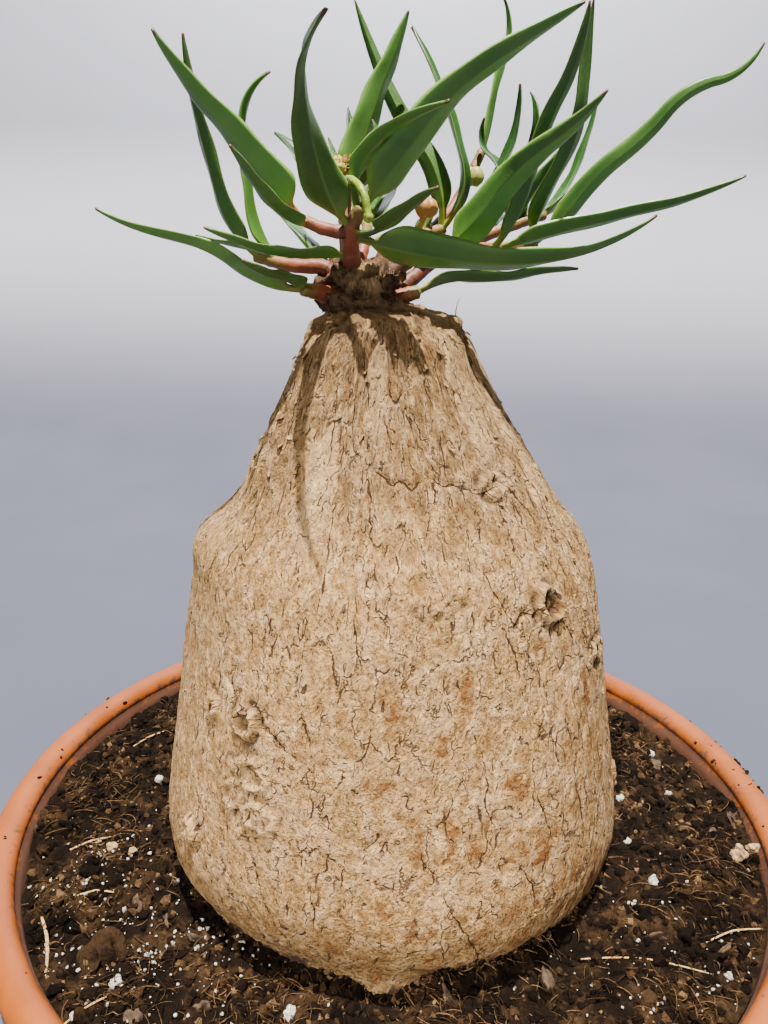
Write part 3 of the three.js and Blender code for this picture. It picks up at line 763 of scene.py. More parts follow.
# Open cracks: half width, depth, and a line of angles and heights
cracks = [
    (0.22, 0.78, [[40, 218], [31, 217.4], [24, 219], [19, 218.8], [14, 220.6]]),
    (0.25, 0.84, [[11, 219.6], [7, 218.4], [3.5, 219.6], [0, 218.9], [-5, 220.6]]),
    (0.22, 0.6, [[45, 218], [49, 214.5], [52, 210]]),
    (0.25, 0.9, [[-31, 183], [-27, 181.8], [-24, 180.2], [-20, 178.9]]),
    (0.19, 0.48, [[-38, 184.5], [-41, 186.5], [-40, 189.5]]),
    (0.22, 0.78, [[38, 199.5], [34, 200.5], [31, 199.2], [27.5, 203.5], [25, 207]]),
    (0.19, 0.6, [[27.5, 199], [30, 195], [31, 191.5]]),
    (0.19, 0.66, [[47, 198.5], [50, 194.5], [50.5, 191]]),
    (0.25, 0.72, [[9, 232.2], [5, 231.0], [1.5, 232.2], [-1, 231.2]]),
    (0.17, 0.6, [[20, 181], [21.5, 176], [21, 172], [23, 168.5]]),
    (0.17, 0.6, [[33, 172], [35.5, 167.5], [37.5, 163]]),
    (0.15, 0.54, [[12, 158], [14, 154], [17.5, 149.5], [20.5, 144], [21.5, 139]]),
    (0.15, 0.54, [[29, 160], [32, 155], [33, 150]]),
    (0.22, 0.66, [[66, 203], [68, 194], [69, 184]]),
    (0.22, 0.66, [[70, 178], [71, 168], [73, 158]]),
    (0.15, 0.48, [[-16, 157], [-14.5, 152], [-15, 148]]),
    (0.17, 0.54, [[-30, 160], [-27, 153], [-23, 146], [-20, 140]]),
    (0.15, 0.48, [[-9, 205], [-8, 199], [-6, 194]]),
]


def caudexMiddle(z):
    # the middle line leans to the left above the neck, and the knob stands further over
    lean = caudex["lean"] * smooth(z, 205, 241)
    knob = smooth(z, 243, 246)
    return (1 - knob) * (caudex["middle"][0] + lean) + knob * crown[0], caudex["middle"][1]


def caudexRadius(radius, angle, z):
    # the outline's radius with lumps, a knee on the left, a front that draws in at the soil, one drip there,
    # ridges above the neck and crags on the knob
    front = (angle + np.pi / 2 + np.pi) % (2 * np.pi) - np.pi
    body = smooth(z, 110, 150) * falling(z, 236, 243)
    cone = smooth(z, 205, 216) * falling(z, 238, 243)
    knob = smooth(z, 244, 246)
    lumps = 0.5 * np.sin(2 * angle + z / 17) + 0.4 * np.sin(5 * angle - z / 13)
    knee = 1.6 * np.maximum(0, -np.cos(angle)) ** 4 * bell(z - 204, 4)
    tuck = 6.5 * np.maximum(0, np.cos(front + 0.15)) * bell(z - 133, 9)
    drip = 4 * bell(front, 0.16) * bell(z - 131, 6)
    ridges = -0.045 * radius * np.cos(4 * front)
    crags = 0.5 * np.sin(5 * angle + z) + 0.35 * np.sin(3 * angle - 2 * z)
    return radius + body * lumps + knee - tuck + drip + cone * ridges + knob * crags


profile = spline(caudex["outline"], np.linspace(0, 1, 2400))
profileSteps = np.linalg.norm(np.diff(profile, axis=0), axis=1)
alongProfile = np.concatenate([[0], np.cumsum(profileSteps)])
flowRadius = 40


def flowOf(points):
    # a place on the unrolled bark: the angle on a circle of 40 mm, and the distance up the profile as height
    middleX, middleY = caudexMiddle(points[..., 2])
    angle = np.arctan2(points[..., 1] - middleY, points[..., 0] - middleX)
    along = np.interp(points[..., 2], profile[:, 1], alongProfile)
    return vectors(flowRadius * np.cos(angle), flowRadius * np.sin(angle), along)


# Splits: how far apart their lines are in millimetres, how much longer than wide they wander, how open
# they are on the right, on the rest of the body and on the cone, and a seed
splits = [
    {"apart": 4.6, "stretch": 5.0, "right": 0.30, "body": -0.14, "cone": 0.22, "seed": 151},
    {"apart": 2.3, "stretch": 3.0, "right": 0.20, "body": -0.08, "cone": 0.12, "seed": 157},
]


def barkSplits(points, flow, turn):
    # a split runs where a noise stretched along the flow is zero, and is open where a second noise is high.
    # The noise over its slope is the distance from the line; finer splits keep clear of the broader ones
    bent = jostled(flow, 2.2, 0.5, 161)
    level = unit(vectors(-flow[..., 1], flow[..., 0], 0))
    z = points[..., 2]
    right = smooth(turn, 20, 55) * falling(turn, 110, 150)
    cone = smooth(z, 206, 218)
    rift = np.ones_like(turn)
    opened = np.zeros_like(turn)
    for split in splits:
        size = np.array([split["apart"], split["apart"], split["apart"] * split["stretch"]])
        place = bent / size
        step = 0.08
        value = latticeNoise(place, split["seed"])
        sideways = latticeNoise(place + step * level, split["seed"]) - value
        upwards = latticeNoise(place + [0, 0, step], split["seed"]) - value
        slope = np.hypot(sideways / (step * size[0]), upwards / (step * size[2]))
        distance = value / np.maximum(slope, 0.06)
        bias = split["body"] + (split["right"] - split["body"]) * right
        bias = bias + (split["cone"] - bias) * cone
        gate = fractal(flow * [1, 1, 0.45], 0.35 * split["apart"] + 1, split["seed"] + 1, 2)
        gate = smooth(gate + bias, 0.05, 0.42)
        gate = gate * falling(np.abs(distance), 0.5, 0.8) * smooth(np.abs(rift), 0.9, 1.0)
        taken = gate > 0
        rift = np.where(taken, distance, rift)
        opened = np.where(taken, gate, opened)
    clear = falling(z, 241, 243.5)
    return np.clip(rift, -1, 1), opened * clear * 0.75


def fromAxis(reach, angle, z):
    # a point at a distance from the caudex's middle line
    middleX, middleY = caudexMiddle(z)
    return vectors(middleX + reach * np.cos(angle), middleY + reach * np.sin(angle), z)


def onCaudex(turn, z, lift=0.0):
    # a point of the smooth skin at an angle from the front in degrees and a height
    angle = np.radians(turn) - np.pi / 2
    return fromAxis(caudexRadius(np.interp(z, profile[:, 1], profile[:, 0]), angle, z) + lift, angle, z)


crackPaths = [spline(onCaudex(*np.transpose(line)), np.linspace(0, 1, 25)) for _, _, line in cracks]


def scarRelief(points):
    # each scar is a low dome with rings on it and a pit in its middle; gives height, darkness and paleness
    height, dark, pale = np.zeros((3, *points.shape[:-1]))
    for scar in scars:
        level = heading(np.radians(scar["angle"]), 0)
        offset = points - onCaudex(scar["angle"], scar["height"])
        near = np.linalg.norm(offset, axis=-1) < 4 * scar["radius"]
        offset = offset[near]
        wobble = 0.22 * fractal(points[near], 2.2, 31, 2)
        distance = np.hypot(offset @ level / scar["wide"], offset[:, 2]) / scar["radius"] + wobble
        dome = scar["rise"] * np.sqrt(np.maximum(0, 1 - distance ** 2))
        waves = np.sin(np.pi * (2 * scar["rings"] * distance - 0.5))
        ring = np.maximum(0, waves) * falling(distance, 0.8, 1.5) * smooth(distance, 0.15, 0.45)
        pit = falling(distance, 0.32, 0.64) * (1 - 0.7 * bell(distance, 0.16))
        valley = np.maximum(0, -waves) * falling(distance, 0.8, 1.3)
        rough = fractal(points[near], 1.3, 33, 2) * falling(distance, 0.9, 1.4)
        height[near] += 0.75 * dome + 0.55 * ring + 0.22 * rough - scar["pit"] * pit
        edge = bell(distance - 1.15, 0.16) * smooth(fractal(points[near], 3, 35, 2), -0.3, 0.3)
        height[near] -= 0.5 * edge
        dark[near] += scar["dark"] * (pit + edge + 0.5 * valley) + 0.35 * edge
        pale[near] += 0.35 * ring * (1 - pit)
    return height, np.clip(dark, 0, 1), np.clip(pale, 0, 1)


def barkOutward(turn, z):
    # away from the bark: level on the body, and tilted up on the cone
    angle = np.radians(turn) - np.pi / 2
    return unit(vectors(np.cos(angle), np.sin(angle), 0.1 + 0.9 * smooth(z, 205, 216)))


def barkRelief(points, turn):
    # low plates with steps between them, ropes down the cone, grain, splits, open cracks and scars, and on
    # the knob crags in layers round one broken pale face
    z = points[..., 2]
    flow = flowOf(points)
    cone = smooth(z, 206, 218) * falling(z, 240, 243)
    knob = smooth(z, 243.4, 245.2)
    ledge = bell(z - 242.6, 2.2)
    bent = jostled(flow, 5, 1.2, 41)
    _, gapBetween, tone = cellNoise(bent * [1, 1, 0.45] / caudex["scaleSize"], 51)
    scales = (0.13 + 0.12 * cone) * tone * smooth(gapBetween, 0, 0.2)
    _, plateGap, plateTone = cellNoise(bent * [1, 1, 0.26] / caudex["plateSize"], 53)
    plates = (0.16 + 0.55 * cone) * plateTone * smooth(plateGap, 0, 0.14)
    ropes = 0.8 * cone * fractal(flow * [1, 1, 0.13], 5.0, 61, 2)
    grain = caudex["grain"] * fractal(flow * [1, 1, 0.5], 1.6, 63, 2)
    broad = 0.25 * fractal(points, 15, 65, 2)
    crags = 1.3 * fractal(points * [1, 1, 1.3], 3.4, 67, 4) - 1.2 * np.abs(fractal(points, 2.0, 69, 3)) + 0.4
    ledges = ledge * (0.8 * fractal(points, 3.2, 71, 2) + 0.35 * np.sign(fractal(points, 2.0, 73, 1)))
    height = scales + plates + ropes + grain + broad + knob * crags + ledges
    rift, opened = barkSplits(points, flow, turn)
    height = height - opened * (0.32 * bell(rift, 0.35) - 0.10 * bell(np.abs(rift) - 0.62, 0.22))
    outward = barkOutward(turn, z)
    for (half, deep, _), path in zip(cracks, crackPaths):
        near = np.linalg.norm(points - path[len(path) // 2], axis=-1) < 24
        distance, where = signedFrom(jostled(points[near], 2.0, 0.4, 167), path, outward[near])
        width = half * (0.45 + 0.55 * np.sin(np.pi * where)) * (1 + 0.5 * fractal(points[near], 2, 64, 2))
        height[near] -= deep * bell(distance, np.maximum(width, 0.32))
        height[near] += 0.12 * bell(np.abs(distance) - 0.75, 0.25) * (np.abs(distance) < 2)
        close = np.abs(distance) < 0.9
        rift[near] = np.where(close, distance, rift[near])
        opened[near] = np.where(close, 4.2 * width * falling(np.abs(distance), 0.6, 0.85), opened[near])
    scarHeight, pit, pale = scarRelief(points)
    pale = np.maximum(pale, cone * 0.45 * smooth(plateTone, 0.72, 0.9))
    broken = bell(turn - 18, 30) * smooth(z, 245.6, 247.6)
    broken = smooth(broken + 0.7 * fractal(points, 2.2, 75, 3), 0.5, 0.9)
    height = height + scarHeight + 0.3 * broken * knob
    shelf = smooth(turn, 40, 52) * falling(turn, 96, 110) * bell(z - 243.7, 1.3)
    dark = np.maximum(knob, 0.8 * ledge * smooth(fractal(points, 4, 77, 2), -0.1, 0.2))
    dark = dark * (1 - broken) * (1 - shelf)
    pale = np.maximum(pale, 0.45 * np.maximum(broken * knob, shelf))
    rusty = smooth(turn, -25, 10) * falling(turn, 120, 160) * (1 - 0.75 * smooth(z, 185, 205)) + 0.25
    return height, {
        "dark": dark, "pit": pit, "pale": pale, "rift": rift, "open": opened,
        "cone": np.broadcast_to(cone, z.shape), "rusty": np.clip(rusty, 0, 1),
    }


def bareFront(turn):
    # 1 on the left and middle of the front, where pale bark runs right down to the soil
    return smooth(turn, -62, -48) * falling(turn, 6, 13)


def soilLine(points, turn):
    # how high soil and its stain reach on the bark: least on the bare front and in a tongue at its middle
    reach = 139.2 - 4.0 * bareFront(turn) - 1.9 * bell(turn, 10) + 4.5 * fractal(points, 3.0, 79, 4)
    return falling(points[..., 2] - reach, -1.0, 0.6)


def pickRows():
    # heights and radii down the profile, close together where the bark shows and far apart in the soil
    seen = smooth(profile[1:, 1], 122, 129)
    crowded = 1 + 0.5 * smooth(profile[1:, 1], 236, 242)
    weight = np.concatenate([[0], np.cumsum(profileSteps * (0.08 + 0.92 * seen) * crowded)])
    wanted = np.linspace(0, weight[-1], caudex["rows"])
    return np.stack([np.interp(wanted, weight, profile[:, k]) for k in (0, 1)], -1)


def pickTurns():
    # angles round the caudex in degrees from the front, closer together where the camera looks
    wide = np.linspace(-180, 180, 2001)
    dense = 1 / (0.62 + 0.55 * smooth(np.abs(wide), 75, 110))
    share = np.concatenate([[0], np.cumsum((dense[1:] + dense[:-1]) / 2)])
    wanted = np.linspace(0, share[-1], caudex["around"], endpoint=False)
    return np.interp(wanted, share, wide)


def caudexSkin():
    # the turned profile with the bark's relief along its normals
    rows = pickRows()
    turn = pickTurns()[None]
    angle = np.radians(turn) - np.pi / 2
    radius, z = rows[:, 0, None], rows[:, 1, None]
    points = fromAxis(caudexRadius(radius, angle, z), angle, z)
    around = np.roll(points, -1, axis=1) - np.roll(points, 1, axis=1)
    upward = np.gradient(points, axis=0)
    normal = unit(np.cross(around, upward))
    turn = np.broadcast_to(turn, points.shape[:-1])
    relief, masks = barkRelief(points, turn)
    masks["stain"] = soilLine(points, turn)
    ends = smooth(np.arange(len(rows)), 0, 4)[:, None]
    points = points + normal * (relief * ends)[..., None]
    skin = closedStack(points, [[*caudex["middle"], caudex["foot"]]], [[*crown[:2], caudex["top"]]], **masks)
    skin["values"]["flow"] = flowOf(skin["points"]) * perMillimetre
    return skin


makePiece("caudex_bark", caudexSkin(), "caudex", "bark")

flakes = {"count": 380, "length": (0.8, 2.6), "width": (0.5, 1.5), "thickness": 0.12, "curl": (0.0, 0.28)}


def barkFlakes():
    # thin plates that lie on the bark and curl away from it: height is curl times the square of the share
    # of the plate's length, over a grid of 5 by 4 points on both faces
    random = np.random.default_rng(21)
    count = flakes["count"]
    turn = random.uniform(-180, 180, count)
    z = 138 + 104 * random.beta(2.2, 1.1, count)
    root = onCaudex(turn, z)
    relief, masks = barkRelief(root, turn)
    outward = barkOutward(turn, z)
    level = unit(np.cross(up, outward))
    spin = random.normal(0, 0.5, count)
    spin = spin + np.pi / 2 * random.integers(0, 2, count) * (random.random(count) < 0.3)
    downward = -unit(np.cross(outward, level))
    along = np.cos(spin)[:, None] * downward + np.sin(spin)[:, None] * level
    across = np.cross(outward, along)
    length = random.uniform(*flakes["length"], count) * (0.8 + 0.3 * smooth(z, 205, 225))
    width = random.uniform(*flakes["width"], count)
    curl = random.uniform(*flakes["curl"], count) * (0.8 + 0.8 * smooth(z, 205, 225))
    u, v = np.meshgrid(np.linspace(0, 1, 5), np.linspace(-0.5, 0.5, 4), indexing="ij")
    ragged = 1 - 0.5 * np.abs(2 * v) ** 2 * (0.4 + u) + 0.16 * random.normal(size=(count, 5, 4)) * u
    length, width, relief, curl, root, along, across, outward = (
        each[:, None, None] for each in (length, width, relief, curl, root, along, across, outward)
    )
    reach = (length * (u - 0.5) * ragged)[..., None]
    side = (width * v * (1 - 0.45 * u ** 2))[..., None]
    lift = relief - 0.1 + curl * (u ** 2 + 0.5 * v ** 2)
    sheets = []
    for half in (flakes["thickness"] / 2, -flakes["thickness"] / 2):
        sheets.append(root + along * reach + across * side + outward * (lift + half)[..., None])
    points = np.stack(sheets, 1).reshape(-1, 3)
    grid = np.arange(20).reshape(5, 4)
    top = np.stack([grid[:-1, :-1], grid[1:, :-1], grid[1:, 1:], grid[:-1, 1:]], -1).reshape(-1, 4)
    border = np.concatenate([grid[:, 0], grid[-1, 1:], grid[-2::-1, -1], grid[0, -2:0:-1]])
    following = np.roll(border, -1)
    wall = np.stack([following, border, border + 20, following + 20], -1)
    quads = np.vstack([top, top[:, ::-1] + 20, wall])
    quads = (quads[None] + 40 * np.arange(count)[:, None, None]).reshape(-1, 4)
    values = dict.fromkeys(("stain", "open", "rift", "rusty", "pit"), np.zeros(len(points)))
    values["pale"] = np.repeat(random.uniform(0, 0.5, count), 40)
    for name in ("dark", "cone"):
        values[name] = np.repeat(masks[name], 40)
    values["flow"] = flowOf(points) * perMillimetre
    return {"points": points, "quads": quads, "triangles": np.zeros((0, 3), int), "values": values}


makePiece("bark_flakes", barkFlakes(), "caudex", "bark")


# Soil

soil = {
    "level": 134.5, "around": 560, "rows": 84, "crumbs": 7200, "fibres": 3400, "matted": 1700, "clods": 46,
    "grit": 900, "chips": 26, "clinging": 1100, "threads": 420, "crumbRadius": (0.22, 1.15),
    "clodRadius": (1.3, 3.0), "fibreLength": (1.5, 7.0), "fibreRadius": (0.05, 0.13),
}


def soilBase(x, y):
    # a few soft clods, a heap on the right and a hollow behind it
    clods = 0.9 * np.sin(x / 6.1 + 1) * np.cos(y / 7.3) + 0.6 * np.sin(x / 3.7 - y / 4.9)
    heap = 2.5 * bell(np.hypot(x - 66, y + 20), 18)
    hollow = 4 * bell(np.hypot(x - 58, y - 24), 13)
    return soil["level"] + clods + heap - hollow


def barkTurn(x, y):
    # the angle from the front in degrees, seen from the caudex's middle
    return np.degrees(np.arctan2(y - caudex["middle"][1], x - caudex["middle"][0])) + 90


def awayFromBark(x, y):
    # the level distance from the bark just above the soil
    bark = onCaudex(barkTurn(x, y), soil["level"] + 1.5)[..., :2] - caudex["middle"]
    return np.hypot(x - caudex["middle"][0], y - caudex["middle"][1]) - np.hypot(bark[..., 0], bark[..., 1])


def isOpen(x, y, bark, wall):
    # whether a spot keeps these distances from the bark and from the pot's wall
    return (awayFromBark(x, y) > bark) & (np.hypot(x, y) < potInside(soil["level"] + 1.5) - wall)


def soilTop(x, y):
    # crumbs of three sizes as domes round cell spots, on noise, and a low ragged bank against the bark. Each
    # crumb has its own tone, painted darker towards its edge as painted shade between the crumbs
    points = jostled(vectors(x, y, 0), 3, 0.8, 81)
    height = 0.7 * fractal(points, 10, 87, 3)
    tone = np.zeros_like(x)
    for size, rise, seed in ((7.0, 1.5, 91), (3.1, 1.1, 93), (1.5, 0.5, 95)):
        nearest, _, own = cellNoise(points / size, seed)
        height = height + rise * (0.35 + own) * (0.55 - nearest ** 2)
        # painted shade: each crumb's own tone is darkened towards the edge of its cell, where the crumbs meet
        tone = tone + own * (1 - nearest) / 3
    turn = barkTurn(x, y)
    bare = bareFront(turn)
    bank = (2.2 + 1.6 * fractal(points, 5, 97, 2)) * (1 - bare) - 0.7 * bare - 1.5 * bell(turn, 10)
    bank = bank * bell(np.maximum(0, awayFromBark(x, y)), 3.2)
    height = height + 0.3 * fractal(points, 1.1, 99, 2) + bank
    return soilBase(x, y) - 0.5 + height, 0.15 + 0.75 * tone


def soilSkin():
    # one closed body: the buried foot, the pot's inside, the crumbly top, and down the caudex to its foot
    turn = fullTurn(soil["around"])
    ring = heading(turn, 0)
    bottom, corner = pot["floor"] + gap, 2.5
    lower = [20 * ring + up * bottom, (potInside(bottom) - corner - gap) * ring + up * bottom]
    lower.append((potInside(bottom + 3) - gap) * ring + up * (bottom + 3))
    outer = (potInside(soil["level"]) - 0.25) * ring
    hidden = onCaudex(np.degrees(turn) + 90, soil["level"], -1.2)
    share = np.linspace(0, 1, soil["rows"])[:, None, None] ** 1.1
    flat = outer * (1 - share) + hidden * share
    top, tone = soilTop(flat[..., 0], flat[..., 1])
    buried = [onCaudex(np.degrees(turn) + 90, z, -1.4) for z in (125, 112, 96, 82, 73)]
    rings = np.concatenate([lower, vectors(flat[..., 0], flat[..., 1], top), buried])
    tones = np.pad(tone, ((len(lower), len(buried)), (0, 0)), constant_values=0.3)
    return closedStack(rings, [[0, 0, bottom]], [[*caudex["middle"], 72]], tone=tones)


makePiece("soil_bed", soilSkin(), "soil")


def onSoil(x, y):
    # these spots of the soil's top, and their tone
    z, tone = soilTop(x, y)
    return vectors(x, y, z), tone


def strewn(random, count):
    # random spots of the soil's top, clear of the caudex and the pot
    x, y = random.uniform(-78, 78, (2, 9 * count))
    free = isOpen(x, y, -0.3, 1.3)
    return onSoil(x[free][:count], y[free][:count])


def bentFibres(random, roots, length, radius, rise, tone, segments=5, droop=0.5):
    # three-sided threads: each walks from its root in a heading that turns evenly, tapering to its ends
    count = len(roots)
    length, radius, rise, tone = (np.broadcast_to(each, count) for each in (length, radius, rise, tone))
    azimuth = random.uniform(0, 2 * np.pi, count)
    bend = random.normal(0, 1.1, count)
    share = np.linspace(0, 1, segments + 1)
    climb = rise[:, None] * (1 - 2 * droop * share)
    along = heading(azimuth[:, None] + bend[:, None] * share, climb)
    walk = np.cumsum(along, axis=1) - along / 2
    spine = roots[:, None] + (walk - walk[:, :1]) * (length / segments)[:, None, None]
    side = unit(np.cross(along, up))
    over = np.cross(side, along)
    taper = (radius[:, None] * (1 - 0.75 * share ** 3) * np.minimum(1, 0.5 + 4 * share))[..., None]
    turns = np.radians([90, 210, 330])
    corners = [spine + taper * (np.cos(turn) * side + np.sin(turn) * over) for turn in turns]
    step = 3 * (segments + 1)
    ends = np.array([[2, 1, 0], [step - 3, step - 2, step - 1]])
    shift = step * np.arange(count)[:, None, None]
    return {
        "points": np.stack(corners, 2).reshape(-1, 3),
        "quads": (ringFaces(segments + 1, 3)[None] + shift).reshape(-1, 4),
        "triangles": (ends[None] + shift).reshape(-1, 3),
        "values": {"tone": np.repeat(tone, step)},
    }


def lumps(random, places, radius, tone, splits=0, squash=0.75, rough=0.9):
    # rough crumbs: spheres of few faces, pressed flat in a random direction
    sizes = radius[:, None] * random.uniform(squash, 1.25, (len(places), 3))
    turns = randomTurns(random, len(places))
    return scattered(icosahedron(splits), turns, sizes, places, rough, 101, tone=tone)


def soilCrumbs():
    # few are big, and the big ones are darker
    random = np.random.default_rng(31)
    places, tone = strewn(random, soil["crumbs"])
    low, high = soil["crumbRadius"]
    share = random.random(len(places)) ** 2.6
    radius = low + (high - low) * share
    places[:, 2] += 0.25 * radius
    own = (0.5 * tone + random.random(len(places)) ** 2.2 * 0.8) * (1.12 - 0.5 * share)
    return lumps(random, places, radius, np.clip(own, 0, 1))


def soilClods():
    # big rough lumps, half sunk
    random = np.random.default_rng(33)
    places, tone = strewn(random, soil["clods"])
    radius = random.uniform(*soil["clodRadius"], len(places))
    places[:, 2] -= 0.35 * radius
    own = np.clip(tone + random.normal(-0.1, 0.12, len(places)), 0, 0.6)
    return lumps(random, places, radius, own, 3, 0.7, 0.9)


# Mats of peat fibres: middle and spread of each
fibreMats = np.array([
    (70, -17, 4.5), (60, -27, 5), (49, -47, 5.5), (-68, 0, 4), (-59, -17, 4.5), (-22, -53, 4.5),
    (-62, -33, 5), (15, -53, 5), (62, 32, 6), (-44, -52, 4.5), (-20, 60, 8), (-60, 34, 7), (30, 60, 7),
])


def soilFibres():
    # part of them lie in mats, in heaps up to 0.8 mm high, and the rest anywhere
    random = np.random.default_rng(35)
    x, y, spread = fibreMats[random.integers(0, len(fibreMats), soil["matted"])].T
    x = x + spread * random.normal(size=len(x))
    y = y + spread * random.normal(size=len(y))
    free = isOpen(x, y, 0.5, 3)
    matted, _ = onSoil(x[free], y[free])
    matted[:, 2] += 0.8 * random.random(len(matted))
    places, _ = strewn(random, soil["fibres"] - len(matted))
    places = np.concatenate([places, matted])
    places[:, 2] += 0.2
    count = len(places)
    length = random.uniform(*soil["fibreLength"], count) * random.uniform(0.4, 1, count)
    radius = random.uniform(*soil["fibreRadius"], count)
    rise = random.uniform(0.0, 0.75, count)
    return bentFibres(random, places, length, radius, rise, random.uniform(0.4, 1.05, count), droop=1.0)


makePiece("soil_crumbs", soilCrumbs(), "soil", soft=False)
makePiece("soil_clods", soilClods(), "soil")
makePiece("soil_fibres", soilFibres(), "soil")

# Straws lying on the soil: radius, and the two ends
straws = [
    (0.2, [-68, -18.8], [-58, -14.2]), (0.16, [-60, -31.8], [-53, -29.4]),
    (0.24, [-64.6, -36.8], [-59, -48]), (0.13, [34, -41.5], [56, -43]), (0.15, [58, -36], [69, -33.5]),
    (0.16, [-52, -58], [-47, -52]), (0.2, [52, 41], [60, 36]), (0.2, [-30, 58], [-21, 61]),
    (0.18, [8, 66], [17, 62]), (0.2, [-66, 18], [-60, 25]),
]


def strawSkins():
    # a hollow-looking reed: a tube with eight flattened sides along a slightly bowed line on the soil
    skins = []
    share = np.linspace(0, 1, 16)
    turn = fullTurn(8)
    for radius, start, end in straws:
        start, end = np.array(start), np.array(end)
        way = end - start
        normal = np.array([-way[1], way[0]])
        flat = start + share[:, None] * way + (0.05 * np.sin(np.pi * share))[:, None] * normal
        ground, _ = soilTop(flat[:, 0], flat[:, 1])
        z = np.interp(share, [0, 0.5, 1], [ground[:5].max(), ground.max(), ground[-5:].max()])
        spine = np.c_[flat, z]
        along = unit(np.gradient(spine, axis=0))
        side = unit(np.cross(along, up))
        over = np.cross(side, along)
        taper = radius * (0.6 + 0.4 * np.sin(np.pi * (0.15 + 0.7 * share)))[:, None]
        rings = spine[:, None] + (taper * np.cos(turn))[..., None] * side[:, None] * 1.3
        rings = rings + (taper * np.sin(turn))[..., None] * over[:, None] * 0.7
        skins.append(closedStack(rings, spine[:1], spine[-1:]))
    return joined(skins)


makePiece("soil_straws", strawSkins(), "soil", look="straw")

# White grains and pale chips at given places: place and radius
perlite = [
    [52.4, 4.6, 0.95], [50.2, -10.4, 0.8], [52.3, -22.4, 1.3], [64.7, 8.3, 0.7], [-15.8, -54.0, 1.1],
    [-50.6, -56.2, 0.9], [-55.0, 5.0, 1.2], [-46, -50, 0.9], [33, -56, 0.8], [45, 51, 1.1], [-12, 63, 1.1],
    [-58, 34, 1.0], [66, 26, 0.8], [20, 64, 0.9], [-36, 55, 1.2], [60, -42, 0.7],
]
paleChips = [
    [71.8, -14.6, 1.5], [76.0, -11.6, 1.1], [-57.7, -19.1, 1.1], [-53.0, -20.5, 0.9], [-61.5, -16.4, 0.8],
]
# Patches of fine grit: middle, spread and share of all grains
gritPatches = [
    (-60, -23, 6, 0.16), (-42, -48, 11, 0.38), (-56, -48, 7, 0.1), (56, -46, 13, 0.2), (0, 0, 60, 0.16),
]


def sittingLumps(random, rows, rough):
    # single grains at listed places, resting in the soil's surface
    x, y, radius = np.transpose(rows)
    places, _ = onSoil(x, y)
    places[:, 2] += 0.45 * radius
    return lumps(random, places, radius, 1.0, 2, rough=rough)


def fineGrit(random):
    # tiny grains drawn round each patch's middle
    x, y = [], []
    for middleX, middleY, spread, share in gritPatches:
        count = int(soil["grit"] * share)
        x.append(random.normal(middleX, spread, count))
        y.append(random.normal(middleY, spread, count))
    x, y = np.concatenate(x), np.concatenate(y)
    free = isOpen(x, y, 0.5, 1.5)
    places, _ = onSoil(x[free], y[free])
    radius = 0.10 + 0.30 * random.random(len(places)) ** 2.2
    places[:, 2] += 0.6 * radius + 0.25
    return lumps(random, places, radius, 1.0)


gritRandom = np.random.default_rng(37)
grit = joined([sittingLumps(gritRandom, perlite, 0.5), fineGrit(gritRandom)])
makePiece("soil_grit", grit, "soil", look="grit")
makePiece("soil_pale_chips", sittingLumps(gritRandom, paleChips, 0.7), "soil", look="tanChip")


handChips = [[27.0, -46.5, 136.2], [67.5, 1.5, 136.0], [60, -39, 136.5], [-48, -34, 135.2]]


def flatChips():
    # slabs of bark: squashed spheres, four at listed places and the rest strewn about
    random = np.random.default_rng(39)
    places = np.vstack([handChips, strewn(random, soil["chips"])[0]])
    count = len(places)
    sizes = np.stack([random.uniform(*span, count) for span in ((1.0, 2.4), (0.7, 1.6), (0.25, 0.5))], -1)
    sizes[0] = (2.4, 1.6, 0.8)
    return scattered(icosahedron(2), randomTurns(random, count), sizes, places, 0.9, 103, tone=0.7)


makePiece("soil_bark_chips", flatChips(), "soil", look="chip")


def clingingSoil():
    # crumbs and threads stuck to the bark just above the soil, thickest right of the front
    random = np.random.default_rng(41)
    count, threads = soil["clinging"], soil["threads"]
    near = random.random(count) < 0.62
    turn = np.where(near, random.normal(22, 26, count), random.uniform(-180, 180, count))
    reach = (3.2 + 2.4 * bell(turn - 28, 24)) * (1 - 0.72 * bareFront(turn))
    base = onCaudex(turn, soil["level"])
    ground, _ = soilTop(base[:, 0], base[:, 1])
    z = ground + reach * random.random(count) ** 1.3
    places = onCaudex(turn, z, 0.15)
    radius = random.uniform(0.25, 0.95, count) * (1 - 0.5 * (z - ground) / 4.5)
    tone = np.clip(random.random(count) ** 1.5, 0, 1)
    crumbs = lumps(random, places, radius, tone)
    spans = ((1.2, 4.5), (0.07, 0.16), (-0.4, 0.9), (0.3, 1))
    own = [random.uniform(*span, threads) for span in spans]
    return joined([crumbs, bentFibres(random, places[:threads], *own)])


makePiece("soil_on_bark", clingingSoil(), "soil", soft=False)


# Crumbs on the pot's rim: middle of each cluster by angle in degrees, spread along the rim, and how many
rimClusters = [
    (178, 5, 16), (158, 3, 9), (15, 4, 14), (9, 4, 22), (3, 3, 16), (200, 9, 10), (340, 9, 8), (90, 30, 16),
]


